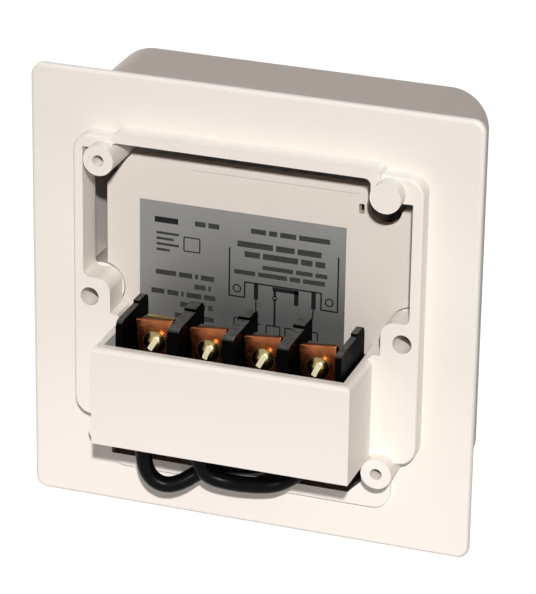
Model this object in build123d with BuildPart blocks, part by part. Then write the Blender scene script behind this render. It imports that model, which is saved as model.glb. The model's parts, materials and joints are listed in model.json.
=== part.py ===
from build123d import *
import os
from math import cos, pi, radians, sin, tan

os.makedirs("parts", exist_ok=True)

# The origin is the middle of the wall plate's back face, midway between the fixing holes.
# +Z is up and the dial faces -Y. A depth is a distance in front of the wall face, so it is -Y:
# the case and dial have positive depths, the terminal trough in the wall box negative ones.
# All sizes are in millimetres.

# Fits and clearances
seat_gap = 0.3
slip_fit = 0.05
running_gap = 0.3

# Wall plate
plate_size = 86.0
plate_thick = 2.6
plate_corner = 2.3
plate_front_round = 1.7
plate_back_round = 0.8
fixing_pitch = 60.3
fixing_radius = 1.8

# Rim and pads on the back of the wall plate
rim_height = 4.3
rim_half_width = 33.3
rim_top = 33.1
rim_wall = 1.9
rim_corner = 3.4
rim_edge_round = 0.5
side_rim_height = 3.6
side_rim_drop = 1.2
high_wall_half = 25.5
high_wall_round = 1.2
window_corner = 1.2
pad_half_gap = 26.1
pad_top = 3.9
pad_step = -2.9
pad_bottom = -24.1
pad_corner = 2.6

# Posts in the corners of the wall plate
post_radius = 2.9
post_height = 6.5
post_hole_radius = 1.1
long_post_length = 12.0
screw_post_top = (27.2, 28.25)
screw_post_low = (-26.85, -25.2)
rest_post_top = (-27.1, 28.8)
rest_post_low = (26.6, -25.3)
corner_web_right = -23.7
corner_web_low = 27.1
post_web_left = 25.6
post_web_low = 29.5
web_corner = 1.2

# Terminal trough
trough_half_width = 24.7
trough_top = -3.95
trough_bottom = -23.2
trough_reach = 16.7
trough_front_wall = 2.0
trough_side_wall = 1.8
trough_floor = 1.8

# Platform and lead window under the trough
platform_height = 1.0
platform_left = -28.0
platform_right = 27.5
platform_bottom = -34.8
lead_window_left = -22.4
lead_window_right = 26.9
lead_window_bottom = -32.6
lead_window_cut = 2.6

# Front case
case_width = 73.0
case_height = 77.4
case_corner = 7.6
case_wall = 2.0
case_edge_round = 2.2
well_radius = 3.6
well_wall = 0.8
screw_boss_radius = 4.0
screw_head_bore = 3.0
screw_hole_radius = 1.6
screw_seat_thick = 2.2
rest_boss_radius = 3.5
rest_boss_hole = 1.0

# Rear cover and label
cover_thick = 1.8
cover_left = -31.25
cover_right = 29.2
cover_top = 26.8
cover_bottom = -22.8
cover_chamfer_width = 4.8
cover_chamfer_height = 6.5
cover_notch = (-24.2, 23.1)
cover_notch_radius = 3.3
cover_shoulder = 23.3
cover_shoulder_start = -21.0
cover_corner = 1.2
cover_boss_radius = 2.4
cover_slot = (-19.9, 22.3)
cover_slot_width = 1.0
cover_slot_height = 1.8
cover_fit = 0.1
module_screw_places = [(-20.0, 18.0), (18.0, 22.0), (14.0, -19.0)]
module_room = 12.8
label_thick = 0.12
label_left = -17.2
label_right = 22.7
label_top = 18.2
label_bottom = -12.0

# Terminal block
way_count = 4
block_play_left = 0.58
block_play_right = 2.18
block_top = -2.4
block_face = 6.0
block_shelf_top = -5.9
block_shelf_reach = 2.8
block_foot_top = -9.2
block_foot_reach = 13.4
barrier_end_thick = 1.2
barrier_thick = 2.2
barrier_top = 1.0
barrier_reach = 14.5
barrier_step_reach = 5.6
barrier_step_height = 0.6
barrier_rear_reach = 1.0
barrier_rear_round = 1.6
barrier_front_round = 1.5
barrier_root = 0.5

# Terminal metalwork
strap_play = 0.23
strap_thick = 1.0
strap_top = -1.5
strap_bottom = -9.0
strap_tab_top = -0.4
strap_tab_width = 5.4
clamp_play = 0.43
clamp_height = 8.4
clamp_thick = 1.2
clamp_middle = -4.2
clamp_turn = 5.5
clamp_gap = 1.2
terminal_shank_radius = 1.4
terminal_shank_length = 6.4
terminal_head_radius = 2.3
terminal_head_rise = 1.8
terminal_head_edge = 0.7
terminal_slot_width = 0.7
terminal_slot_depth = 0.8
terminal_hole_play = 0.1

# Chassis
chassis_thick = 1.5
chassis_half_width = 32.8
chassis_half_height = 35.3
chassis_corner = 5.0
chassis_play = 0.3

# Dial and its drive
dial_height = 5.0
dial_radius = 24.5
dial_thick = 3.5
dial_gap = 0.4
dial_sink = 1.0
arbor_radius = 2.0
bush_radius = 3.0
bush_flange_radius = 4.0
bush_flange_thick = 0.6
bush_tail = 0.6
clip_radius = 3.4
clip_thick = 0.8
gear_module = 0.4
gear_thick = 1.5
gear_hub_radius = 3.5
dial_teeth = 72
idler_teeth = 48
pinion_teeth = 12
pinion_thick = 2.4
tooth_tip_share = 0.75
tooth_root_share = 1.15
tooth_tip_width_share = 0.4
tooth_root_width_share = 1.25
gear_step = 0.8
clutch_room = 0.9
clutch_radius = 5.5
clutch_thick = 0.3
idler_angle = 225.0
idler_stud_radius = 1.0
motor_pinion_angle = -60.0
knob_radius = 6.5
knob_rise = 4.0
knob_cap = 2.0
flute_count = 12
knob_flute_radius = 0.9
knob_bevel = 0.4

# Setting pins
pin_count = 48
group_pin_count = 8
pin_edge = 1.9
pin_width = 1.7
pin_depth = 2.4
pin_length = 6.5
pin_rise = 2.6
pin_travel = 2.2
pin_slot_play = 0.1
pressed_groups = (0, 3)

# Motor
motor_place = (-12.0, -12.0)
motor_radius = 15.0
motor_wall = 0.8
motor_ear_angle = 19.8
motor_ear_reach = 17.97
motor_ear_radius = 2.6
motor_screw_radius = 0.8
motor_screw_head = 1.6
motor_screw_head_thick = 1.0
motor_shaft_radius = 0.8
motor_shaft_tail = 0.8
output_bush_radius = 1.3
coil_inner = 7.5
coil_outer = 13.8
coil_seat = 0.9
coil_room = 1.2
rotor_radius = 6.5
rotor_length = 7.2
rotor_pin_radius = 0.7

# Trip lever and switch
lever_width = 4.0
lever_thick = 0.9
lever_pivot = -8.0
lever_tip = 7.0
lever_pin_radius = 0.6
lever_pin_play = 0.04
lever_barrel_radius = 1.1
lever_lift = 1.2
lever_back_gap = 0.8
lever_ear_wall = 0.5
lever_follower_radius = 1.0
lever_ear_thick = 0.7
lever_ear_gap = 0.1
follower_gap = 0.3
switch_reach_left = 4.2
switch_reach_right = 2.2
switch_half_height = 10.0
switch_wall = 0.8
switch_depth = 10.2
plunger_offset = 1.0
plunger_radius = 1.0
plunger_play = 0.3
plunger_collar_radius = 1.5
plunger_collar_thick = 0.6
plunger_gap = 0.05
blade_width = 3.2
blade_thick = 0.3
blade_pivot = -8.2
blade_tip = 6.5
blade_end_play = 0.1
blade_room = 1.0
contact_button_radius = 1.0
contact_button_rise = 0.3
contact_gap = 0.64
contact_leg_thick = 0.5

# Override slider and neon lamp on the front
slider_place = (10.0, -29.0)
slider_travel = 3.0
slider_plate_width = 16.4
slider_plate_height = 6.4
slider_plate_thick = 1.2
slider_knob_size = 4.0
slider_knob_rise = 1.9
slider_knob_bevel = 0.4
slider_slot_play = 0.2
slider_face_play = 0.1
slider_spring_room = 1.8
slider_spring_thick = 0.15
pointer_size = 2.6
pointer_gap = 0.9
pointer_sink = 0.8
pointer_proud = 0.3
neon_place = (-8.0, -29.0)
neon_hole_radius = 3.0
neon_flange_radius = 3.8
neon_flange_thick = 0.8
neon_rise = 1.1
neon_lamp_radius = 1.8
neon_lamp_length = 5.0
neon_lamp_round = 1.26
neon_foot = 1.2

# Small screws and caps
small_shank_radius = 0.95
small_head_radius = 1.9
small_head_thick = 1.6
case_head_radius = 2.7
case_head_thick = 1.9
case_screw_length = 10.5
chassis_screw_grip = 5.5
module_screw_grip = 8.0
screw_recess_width = 0.7
screw_recess_depth = 0.7
cap_rise = 0.4
cap_round = 0.32
cap_sink = 1.6

# Link leads
lead_radius = 1.55
lead_hole_play = 0.05
tag_thick = 0.5
tag_width = 5.0
tag_height = 4.0
short_lead_route = [
    (18.4, 7.0, trough_bottom + trough_floor),
    (18.4, 7.0, -28.6),
    (17.2, 7.2, -32.9),
    (14.2, 6.8, -34.7),
    (11.0, 5.8, -33.9),
    (8.3, 4.0, -32.0),
    (5.0, 3.0, -30.9),
    (0.5, 2.8, -30.2),
    (-3.4, 2.3, -29.9),
    (-4.8, -1.6, -29.2),
    (-3.4, -7.6, -28.2),
    (-2.4, -11.0, -28.2),
    (-2.4, -17.0, -28.2),
]
long_lead_route = [
    (7.3, 7.5, trough_bottom + trough_floor),
    (7.3, 7.5, -27.6),
    (5.6, 7.3, -30.9),
    (1.6, 6.3, -32.0),
    (-3.0, 6.1, -31.9),
    (-7.8, 5.6, -31.2),
    (-10.8, 2.9, -29.5),
    (-12.4, -1.5, -28.9),
    (-13.6, -6.5, -29.3),
    (-14.0, -11.0, -29.6),
    (-14.0, -17.0, -29.6),
]

# Places worked out from the sizes above
cover_back = plate_thick + seat_gap
cover_front = cover_back + cover_thick
chassis_back = cover_front + module_room
chassis_front = chassis_back + chassis_thick
idler_back = chassis_front + running_gap
idler_front = idler_back + gear_thick
dial_gear_back = idler_front + gear_step
dial_gear_front = dial_gear_back + gear_thick
dial_back = dial_gear_front + clutch_room
dial_front = dial_back + dial_thick
case_front = dial_front + dial_sink
case_inner = case_front - case_wall
case_right = case_width / 2
case_top = case_height / 2
pin_front = dial_front + pin_rise
pin_back = pin_front - pin_length
dial_place = (0.0, dial_height)
opening_radius = dial_radius + dial_gap
pin_circle = dial_radius - pin_edge
lever_x = pin_circle
switch_left = lever_x - switch_reach_left
switch_right = lever_x + switch_reach_right
plunger_x = lever_x - plunger_offset
arbor_front = dial_front + knob_rise - knob_cap
bush_back = chassis_back - bush_tail
clip_front = bush_back - slip_fit
clip_back = clip_front - clip_thick
arbor_back = clip_back - seat_gap
wells = [(-fixing_pitch / 2, 0.0), (fixing_pitch / 2, 0.0)]
well_outer = well_radius + well_wall
screw_posts = [screw_post_top, screw_post_low]
rest_posts = [rest_post_top, rest_post_low]
boss_start = long_post_length + seat_gap
head_seat = boss_start + screw_seat_thick
window_half = rim_half_width - rim_wall
window_top = rim_top - rim_wall
block_left = -trough_half_width + trough_side_wall + block_play_left
block_right = trough_half_width - trough_side_wall - block_play_right
block_centre = (block_left + block_right) / 2
way_pitch = (block_right - block_left - barrier_end_thick) / way_count
strap_width = way_pitch - barrier_thick - 2 * strap_play
clamp_width = way_pitch - barrier_thick - 2 * clamp_play
block_bottom = trough_bottom + trough_floor
way_places = [block_centre + (i - (way_count - 1) / 2) * way_pitch for i in range(way_count)]
barrier_places = [block_centre + (i - way_count / 2) * way_pitch for i in range(way_count + 1)]
strap_face = block_face + strap_thick
clamp_back = strap_face + clamp_gap
clamp_face = clamp_back + clamp_thick
terminal_hole_radius = terminal_shank_radius + terminal_hole_play

pointer_back = case_front - pointer_sink
pointer_low = dial_height + opening_radius + pointer_gap
slider_slot_half_width = slider_knob_size / 2 + slider_travel + slider_slot_play
slider_slot_half_height = slider_knob_size / 2 + slider_slot_play
slider_plate_front = case_inner - slider_face_play
slider_plate_back = slider_plate_front - slider_plate_thick
slider_table_front = slider_plate_back - slider_spring_room
bush_front = chassis_front + bush_flange_thick
lever_depth = chassis_front + lever_lift
lever_back = chassis_front + lever_back_gap
lever_front = lever_back + lever_thick
lever_ear_half = lever_pin_radius + lever_ear_wall
lever_left = lever_x - lever_width / 2
lever_right = lever_x + lever_width / 2
lever_ear_places = [lever_left - lever_ear_gap - lever_ear_thick, lever_right + lever_ear_gap]
lever_span = lever_width + 2 * (lever_ear_gap + lever_ear_thick)
plunger_place = (plunger_x, 0.0)
plunger_hole_radius = plunger_radius + plunger_play
motor_back = cover_front + 2 * seat_gap
motor_cover_back = chassis_back - motor_wall
motor_screw_places = [
    (
        motor_place[0] + side * motor_ear_reach * cos(radians(motor_ear_angle)),
        motor_place[1] + side * motor_ear_reach * sin(radians(motor_ear_angle)),
    )
    for side in (-1, 1)
]
coil_back = motor_back + motor_wall + coil_seat
coil_front = motor_cover_back - coil_room
rotor_back = motor_back + motor_wall + running_gap
rotor_front = rotor_back + rotor_length
rotor_pin_front = rotor_front + running_gap
motor_shaft_back = motor_cover_back - motor_shaft_tail
switch_back = chassis_back - switch_depth
switch_inner_front = chassis_back - switch_wall
switch_inner_back = switch_back + switch_wall
plunger_front = lever_back - plunger_gap
blade_front = switch_inner_front - blade_room
blade_back = blade_front - blade_thick
contact_height = blade_tip - contact_button_radius - seat_gap
contact_top = blade_back - contact_button_rise - contact_gap
tag_places = [(route[-1][0], route[-1][2]) for route in (short_lead_route, long_lead_route)]


def at(depth):
    """Sketch plane at a depth, drawn as seen from the front."""
    return Plane.XZ.offset(depth)


def around(centre, angle, reach):
    """Place at an angle and a distance from another place."""
    return (centre[0] + reach * cos(radians(angle)), centre[1] + reach * sin(radians(angle)))


def columns(places, radius, start, end, mode=Mode.ADD):
    """Round columns or bores between two depths."""
    with BuildSketch(at(start)) as outline:
        with Locations(*places):
            Circle(radius)
    extrude(outline.sketch, amount=end - start, mode=mode)


def slab(left, right, low, high, start, end, mode=Mode.ADD, corner=0.0):
    """Rectangular block between two depths, with its corners rounded if asked."""
    with BuildSketch(at(start)) as outline:
        with Locations(((left + right) / 2, (low + high) / 2)):
            if corner > 0:
                RectangleRounded(right - left, high - low, corner)
            else:
                Rectangle(right - left, high - low)
    extrude(outline.sketch, amount=end - start, mode=mode)


def toothed_ring(place, teeth, start, end, tooth_angle, bore):
    """Spur wheel with straight-sided teeth, thinned so that it runs free."""
    pitch_radius = gear_module * teeth / 2
    tip_radius = pitch_radius + tooth_tip_share * gear_module
    root_radius = pitch_radius - tooth_root_share * gear_module
    half_tooth = pi * gear_module / 4
    root_half = half_tooth * tooth_root_width_share
    tip_half = half_tooth * tooth_tip_width_share
    with BuildSketch(at(start)) as outline:
        with Locations(place):
            Circle(root_radius)
            with PolarLocations(0, teeth, start_angle=tooth_angle):
                Polygon(
                    (root_radius - gear_module / 2, -root_half),
                    (tip_radius, -tip_half),
                    (tip_radius, tip_half),
                    (root_radius - gear_module / 2, root_half),
                    align=None,
                )
            Circle(bore, mode=Mode.SUBTRACT)
    extrude(outline.sketch, amount=end - start)


def gear_centre_distance(one, other):
    """Distance between two meshing wheels."""
    return gear_module * (one + other) / 2


idler_place = around(dial_place, idler_angle, gear_centre_distance(dial_teeth, pinion_teeth))
motor_pinion_place = around(
    idler_place, motor_pinion_angle, gear_centre_distance(idler_teeth, pinion_teeth)
)

# Wall plate: plate, rim, pads, posts, platform and terminal trough in one moulding
with BuildPart() as wall_plate:
    with BuildSketch(at(0)):
        RectangleRounded(plate_size, plate_size, plate_corner)
    extrude(amount=plate_thick)
    fillet(wall_plate.faces().sort_by(Axis.Y)[0].edges(), plate_front_round)
    fillet(wall_plate.faces().sort_by(Axis.Y)[-1].edges(), plate_back_round)
    slab(
        -rim_half_width,
        rim_half_width,
        pad_bottom,
        rim_top - side_rim_drop,
        0,
        -side_rim_height,
        corner=rim_corner,
    )
    fillet(wall_plate.faces().sort_by(Axis.Y)[-1].edges(), rim_edge_round)
    slab(
        -high_wall_half,
        high_wall_half,
        corner_web_low,
        rim_top,
        0,
        -rim_height,
        corner=high_wall_round,
    )
    slab(
        platform_left,
        platform_right,
        platform_bottom,
        pad_bottom,
        0,
        -platform_height,
        corner=rim_corner,
    )
    slab(
        -trough_half_width,
        trough_half_width,
        trough_bottom,
        trough_top,
        0,
        -trough_reach,
    )
    with BuildSketch(at(plate_thick)) as window:
        with Locations((0, (pad_top + window_top) / 2)):
            RectangleRounded(2 * window_half, window_top - pad_top, window_corner)
        for left, right, low in (
            (-window_half, corner_web_right, corner_web_low),
            (post_web_left, window_half, post_web_low),
        ):
            with Locations(((left + right) / 2, (low + window_top) / 2)):
                Rectangle(right - left, window_top - low, mode=Mode.SUBTRACT)
        fillet(window.vertices().group_by(Axis.Y)[-1], web_corner)
        with Locations((0, (pad_step + pad_top) / 2)):
            Rectangle(2 * pad_half_gap, pad_top - pad_step)
        with Locations((0, (trough_top + pad_top) / 2)):
            Rectangle(2 * trough_half_width, pad_top - trough_top)
        pad_line = window.vertices().filter_by_position(
            Axis.Y, pad_top - slip_fit, pad_top + slip_fit
        )
        fillet(pad_line.sort_by(Axis.X)[1:-1], pad_corner)
    extrude(window.sketch, amount=-(plate_thick + rim_height), mode=Mode.SUBTRACT)
    slab(
        -trough_half_width + trough_side_wall,
        trough_half_width - trough_side_wall,
        block_bottom,
        pad_top,
        plate_thick,
        -trough_reach + trough_front_wall,
        mode=Mode.SUBTRACT,
    )
    with BuildSketch(at(plate_thick)) as lead_window:
        with Locations(
            ((lead_window_left + lead_window_right) / 2, (lead_window_bottom + trough_bottom) / 2)
        ):
            Rectangle(lead_window_right - lead_window_left, trough_bottom - lead_window_bottom)
        cut_corner = lead_window.vertices().sort_by_distance((lead_window_left, lead_window_bottom))
        chamfer(cut_corner[0], lead_window_cut)
    extrude(lead_window.sketch, amount=-(plate_thick + rim_height), mode=Mode.SUBTRACT)
    columns(screw_posts, post_radius, -post_height, long_post_length)
    columns(rest_posts, post_radius, -post_height, plate_thick)
    columns(screw_posts, post_hole_radius, -post_height, long_post_length, Mode.SUBTRACT)
    columns(wells, fixing_radius, -rim_height, plate_thick, Mode.SUBTRACT)
    with BuildSketch(Plane.XY.offset(trough_bottom)) as lead_holes:
        for route in (short_lead_route, long_lead_route):
            with Locations(route[0][:2]):
                Circle(lead_radius + lead_hole_play)
    extrude(lead_holes.sketch, amount=trough_floor, mode=Mode.SUBTRACT)
wall_plate.part.label = "wall_plate"
export_step(wall_plate.part, "parts/wall_plate.step")

# Front case: square shell with the dial opening, screw wells and bosses
with BuildPart() as front_case:
    with BuildSketch(at(plate_thick)):
        RectangleRounded(case_width, case_height, case_corner)
    extrude(amount=case_front - plate_thick)
    fillet(front_case.faces().sort_by(Axis.Y)[0].edges(), case_edge_round)
    slab(
        -case_right + case_wall,
        case_right - case_wall,
        -case_top + case_wall,
        case_top - case_wall,
        plate_thick,
        case_inner,
        mode=Mode.SUBTRACT,
        corner=case_corner - case_wall,
    )
    columns(wells, well_outer, plate_thick, case_inner)
    columns(wells, well_radius, plate_thick, case_front, Mode.SUBTRACT)
    columns(screw_posts, screw_boss_radius, boss_start, case_inner)
    columns(screw_posts, screw_hole_radius, boss_start, head_seat, Mode.SUBTRACT)
    columns(screw_posts, screw_head_bore, head_seat, case_front, Mode.SUBTRACT)
    columns(rest_posts, rest_boss_radius, chassis_front, case_inner)
    columns(rest_posts, rest_boss_hole, chassis_front, case_inner, Mode.SUBTRACT)
    columns([dial_place], opening_radius, case_inner, case_front, Mode.SUBTRACT)
    columns([neon_place], neon_hole_radius, case_inner, case_front, Mode.SUBTRACT)
    slab(
        slider_place[0] - slider_slot_half_width,
        slider_place[0] + slider_slot_half_width,
        slider_place[1] - slider_slot_half_height,
        slider_place[1] + slider_slot_half_height,
        case_inner,
        case_front,
        mode=Mode.SUBTRACT,
    )
    with BuildSketch(at(pointer_back)) as pointer_slot:
        with Locations((0, pointer_low)):
            Triangle(a=pointer_size, b=pointer_size, c=pointer_size, align=(Align.CENTER, Align.MIN))
    extrude(pointer_slot.sketch, amount=case_front - pointer_back, mode=Mode.SUBTRACT)
front_case.part.label = "front_case"
export_step(front_case.part, "parts/front_case.step")

# Time pointer: small moulded arrow let into the case above the dial
with BuildPart() as time_pointer:
    with BuildSketch(at(pointer_back)):
        with Locations((0, pointer_low)):
            Triangle(a=pointer_size, b=pointer_size, c=pointer_size, align=(Align.CENTER, Align.MIN))
    extrude(amount=case_front - pointer_back + pointer_proud)
time_pointer.part.label = "time_pointer"
export_step(time_pointer.part, "parts/time_pointer.step")

# Rear cover: panel behind the window of the wall plate, with three screw bosses
with BuildPart() as rear_cover:
    with BuildSketch(at(cover_back)) as panel:
        with BuildLine():
            Polyline(
                (cover_left, cover_bottom),
                (cover_right, cover_bottom),
                (cover_right, cover_top - cover_chamfer_height),
                (cover_right - cover_chamfer_width, cover_top),
                (cover_shoulder_start, cover_top),
                (cover_shoulder_start, cover_shoulder),
                (cover_left, cover_shoulder),
                close=True,
            )
        make_face()
        with Locations(*wells):
            Circle(well_outer + cover_fit, mode=Mode.SUBTRACT)
        with Locations(cover_notch):
            Circle(cover_notch_radius, mode=Mode.SUBTRACT)
        with Locations(*screw_posts):
            Circle(post_radius + seat_gap, mode=Mode.SUBTRACT)
        with Locations(cover_slot):
            Rectangle(cover_slot_width, cover_slot_height, mode=Mode.SUBTRACT)
        notch_start = (cover_notch[0] - cover_notch_radius, cover_shoulder)
        for corner_place in ((cover_left, cover_shoulder), notch_start):
            fillet(panel.vertices().sort_by_distance(corner_place)[0], cover_corner)
    extrude(amount=cover_thick)
    columns(module_screw_places, cover_boss_radius, cover_front, chassis_back)
    columns(module_screw_places, post_hole_radius, cover_front, chassis_back, Mode.SUBTRACT)
rear_cover.part.label = "rear_cover"
export_step(rear_cover.part, "parts/rear_cover.step")

# Rating label: thin plate on the back of the rear cover
with BuildPart() as rating_label:
    slab(label_left, label_right, label_bottom, label_top, cover_back - label_thick, cover_back)
rating_label.part.label = "rating_label"
export_step(rating_label.part, "parts/rating_label.step")

# Terminal block: body, foot and a barrier each side of every way
with BuildPart() as terminal_block:
    slab(block_left, block_right, block_bottom, block_shelf_top, -block_face, plate_thick)
    slab(block_left, block_right, block_shelf_top, block_top, -block_face, -block_shelf_reach)
    slab(block_left, block_right, block_bottom, block_foot_top, -block_foot_reach, -block_face)
    for number, place in enumerate(barrier_places):
        end_barrier = number in (0, way_count)
        thick = barrier_end_thick if end_barrier else barrier_thick
        with BuildSketch(Plane.YZ.offset(place - thick / 2)) as side_view:
            with BuildLine():
                Polyline(
                    (block_face - barrier_root, block_bottom),
                    (barrier_reach, block_bottom),
                    (barrier_reach, barrier_top),
                    (barrier_step_reach, barrier_top),
                    (barrier_step_reach, barrier_top + barrier_step_height),
                    (barrier_rear_reach, barrier_top + barrier_step_height),
                    (barrier_rear_reach, block_shelf_top - barrier_root),
                    (block_face - barrier_root, block_shelf_top - barrier_root),
                    close=True,
                )
            make_face()
            rear_corner = side_view.vertices().group_by(Axis.Y)[-1].sort_by(Axis.X)[0]
            fillet(rear_corner, barrier_rear_round)
            front_corner = side_view.vertices().sort_by_distance((barrier_reach, barrier_top))[0]
            fillet(front_corner, barrier_front_round)
        extrude(side_view.sketch, amount=thick)
    terminal_holes = [(place, clamp_middle) for place in way_places]
    columns(terminal_holes, terminal_hole_radius, -block_face, -block_shelf_reach, Mode.SUBTRACT)
terminal_block.part.label = "terminal_block"
export_step(terminal_block.part, "parts/terminal_block.step")

# Terminal straps, clamp plates and screws: one of each in every way
for number, place in enumerate(way_places):
    with BuildPart() as terminal_strap:
        slab(
            place - strap_width / 2,
            place + strap_width / 2,
            strap_bottom,
            strap_top,
            -strap_face,
            -block_face,
        )
        if number == way_count - 1:
            slab(
                place - strap_tab_width / 2,
                place + strap_tab_width / 2,
                strap_top,
                strap_tab_top,
                -strap_face,
                -block_face,
            )
        columns(
            [(place, clamp_middle)], terminal_hole_radius, -strap_face, -block_face, Mode.SUBTRACT
        )
    terminal_strap.part.label = f"terminal_strap_{number + 1}"
    export_step(terminal_strap.part, f"parts/terminal_strap_{number + 1}.step")

    with BuildPart() as terminal_clamp:
        with BuildSketch(at(-clamp_face)) as clamp_outline:
            with Locations(Location((place, clamp_middle), clamp_turn)):
                Rectangle(clamp_width, clamp_height)
                Circle(terminal_hole_radius, mode=Mode.SUBTRACT)
        extrude(amount=clamp_thick)
    terminal_clamp.part.label = f"terminal_clamp_{number + 1}"
    export_step(terminal_clamp.part, f"parts/terminal_clamp_{number + 1}.step")

    with BuildPart() as terminal_screw:
        head_top = clamp_face + terminal_head_rise
        columns(
            [(place, clamp_middle)],
            terminal_shank_radius,
            -clamp_face,
            -clamp_face + terminal_shank_length,
        )
        columns([(place, clamp_middle)], terminal_head_radius, -head_top, -clamp_face)
        head_rim = terminal_screw.faces().sort_by(Axis.Y)[-1].edges()
        fillet(head_rim, terminal_head_rise - terminal_head_edge)
        slab(
            place - terminal_head_radius,
            place + terminal_head_radius,
            clamp_middle - terminal_slot_width / 2,
            clamp_middle + terminal_slot_width / 2,
            -head_top,
            -head_top + terminal_slot_depth,
            mode=Mode.SUBTRACT,
        )
    terminal_screw.part.label = f"terminal_screw_{number + 1}"
    export_step(terminal_screw.part, f"parts/terminal_screw_{number + 1}.step")

# Chassis: plate that carries the drive, the switch, the motor and the dial
with BuildPart() as chassis:
    slab(
        -chassis_half_width,
        chassis_half_width,
        -chassis_half_height,
        chassis_half_height,
        chassis_back,
        chassis_front,
        corner=chassis_corner,
    )
    slab(
        slider_place[0] - slider_plate_width / 2,
        slider_place[0] + slider_plate_width / 2,
        slider_place[1] - slider_plate_height / 2,
        slider_place[1] + slider_plate_height / 2,
        chassis_front,
        slider_table_front,
    )
    for ear_place in lever_ear_places:
        slab(
            ear_place,
            ear_place + lever_ear_thick,
            lever_pivot - lever_ear_half,
            lever_pivot + lever_ear_half,
            chassis_front,
            lever_depth + lever_ear_half,
        )
    with BuildSketch(Plane.YZ.offset(lever_ear_places[0])) as pin_line:
        with Locations((-lever_depth, lever_pivot)):
            Circle(lever_pin_radius + lever_pin_play / 2)
    extrude(pin_line.sketch, amount=lever_span, mode=Mode.SUBTRACT)
    columns(wells, well_outer + chassis_play, chassis_back, chassis_front, Mode.SUBTRACT)
    columns(
        screw_posts, screw_boss_radius + chassis_play, chassis_back, chassis_front, Mode.SUBTRACT
    )
    columns([dial_place], bush_radius, chassis_back, chassis_front, Mode.SUBTRACT)
    columns([idler_place], idler_stud_radius, chassis_back, chassis_front, Mode.SUBTRACT)
    columns([motor_pinion_place], output_bush_radius, chassis_back, chassis_front, Mode.SUBTRACT)
    columns([plunger_place], plunger_hole_radius, chassis_back, chassis_front, Mode.SUBTRACT)
    columns(
        module_screw_places + rest_posts,
        small_shank_radius + slip_fit,
        chassis_back,
        chassis_front,
        Mode.SUBTRACT,
    )
    columns(motor_screw_places, motor_screw_radius, chassis_back, chassis_front, Mode.SUBTRACT)
chassis.part.label = "chassis"
export_step(chassis.part, "parts/chassis.step")

# Dial bush: flanged bearing for the dial arbor
with BuildPart() as dial_bush:
    columns([dial_place], bush_radius, bush_back, chassis_front)
    columns([dial_place], bush_flange_radius, chassis_front, bush_front)
    columns([dial_place], arbor_radius + slip_fit, bush_back, bush_front, Mode.SUBTRACT)
dial_bush.part.label = "dial_bush"
export_step(dial_bush.part, "parts/dial_bush.step")

# Dial arbor: shaft through the bush, the dial gear, the dial and the knob
with BuildPart() as dial_arbor:
    columns([dial_place], arbor_radius, arbor_back, arbor_front)
dial_arbor.part.label = "dial_arbor"
export_step(dial_arbor.part, "parts/dial_arbor.step")

# Dial clip: spring ring that holds the arbor behind the bush
with BuildPart() as dial_clip:
    columns([dial_place], clip_radius, clip_back, clip_front)
    columns([dial_place], arbor_radius, clip_back, clip_front, Mode.SUBTRACT)
dial_clip.part.label = "dial_clip"
export_step(dial_clip.part, "parts/dial_clip.step")

# Dial gear: driven wheel, clamped to the dial by the friction washer
with BuildPart() as dial_gear:
    toothed_ring(dial_place, dial_teeth, dial_gear_back, dial_gear_front, idler_angle, arbor_radius)
    columns([dial_place], gear_hub_radius, bush_front + running_gap, dial_gear_back)
    columns([dial_place], arbor_radius, bush_front, dial_gear_back, Mode.SUBTRACT)
dial_gear.part.label = "dial_gear"
export_step(dial_gear.part, "parts/dial_gear.step")

# Friction washer: shallow cone between the dial gear and the dial
with BuildPart() as clutch_spring:
    with BuildSketch(Plane.XY.offset(dial_height)) as washer_half:
        with BuildLine():
            Polyline(
                (arbor_radius, -dial_gear_front - clutch_thick),
                (clutch_radius, -dial_back),
                (clutch_radius, -dial_back + clutch_thick),
                (arbor_radius, -dial_gear_front),
                close=True,
            )
        make_face()
    revolve(washer_half.sketch, axis=Axis((0, 0, dial_height), (0, 1, 0)))
clutch_spring.part.label = "clutch_spring"
export_step(clutch_spring.part, "parts/clutch_spring.step")

# Timing dial: disc with a slot for each setting pin
pin_angles = [90 - (i + 0.5) * 360 / pin_count for i in range(pin_count)]
with BuildPart() as timing_dial:
    columns([dial_place], dial_radius, dial_back, dial_front)
    with BuildSketch(at(dial_back)) as pin_slots:
        for angle in pin_angles:
            with Locations(Location(around(dial_place, angle, pin_circle), angle)):
                Rectangle(pin_depth + 2 * pin_slot_play, pin_width + 2 * pin_slot_play)
    extrude(pin_slots.sketch, amount=dial_thick, mode=Mode.SUBTRACT)
    columns([dial_place], arbor_radius, dial_back, dial_front, Mode.SUBTRACT)
timing_dial.part.label = "timing_dial"
export_step(timing_dial.part, "parts/timing_dial.step")

# Setting pins: one for each half hour, moulded in groups that move together
group_count = pin_count // group_pin_count
for group in range(group_count):
    pressed = pin_travel if group in pressed_groups else 0.0
    with BuildPart() as setting_pins:
        with BuildSketch(at(pin_back - pressed)) as pin_outlines:
            for angle in pin_angles[group * group_pin_count : (group + 1) * group_pin_count]:
                with Locations(Location(around(dial_place, angle, pin_circle), angle)):
                    Rectangle(pin_depth, pin_width)
        extrude(pin_outlines.sketch, amount=pin_length)
    setting_pins.part.label = f"setting_pins_{group + 1}"
    export_step(setting_pins.part, f"parts/setting_pins_{group + 1}.step")

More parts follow.
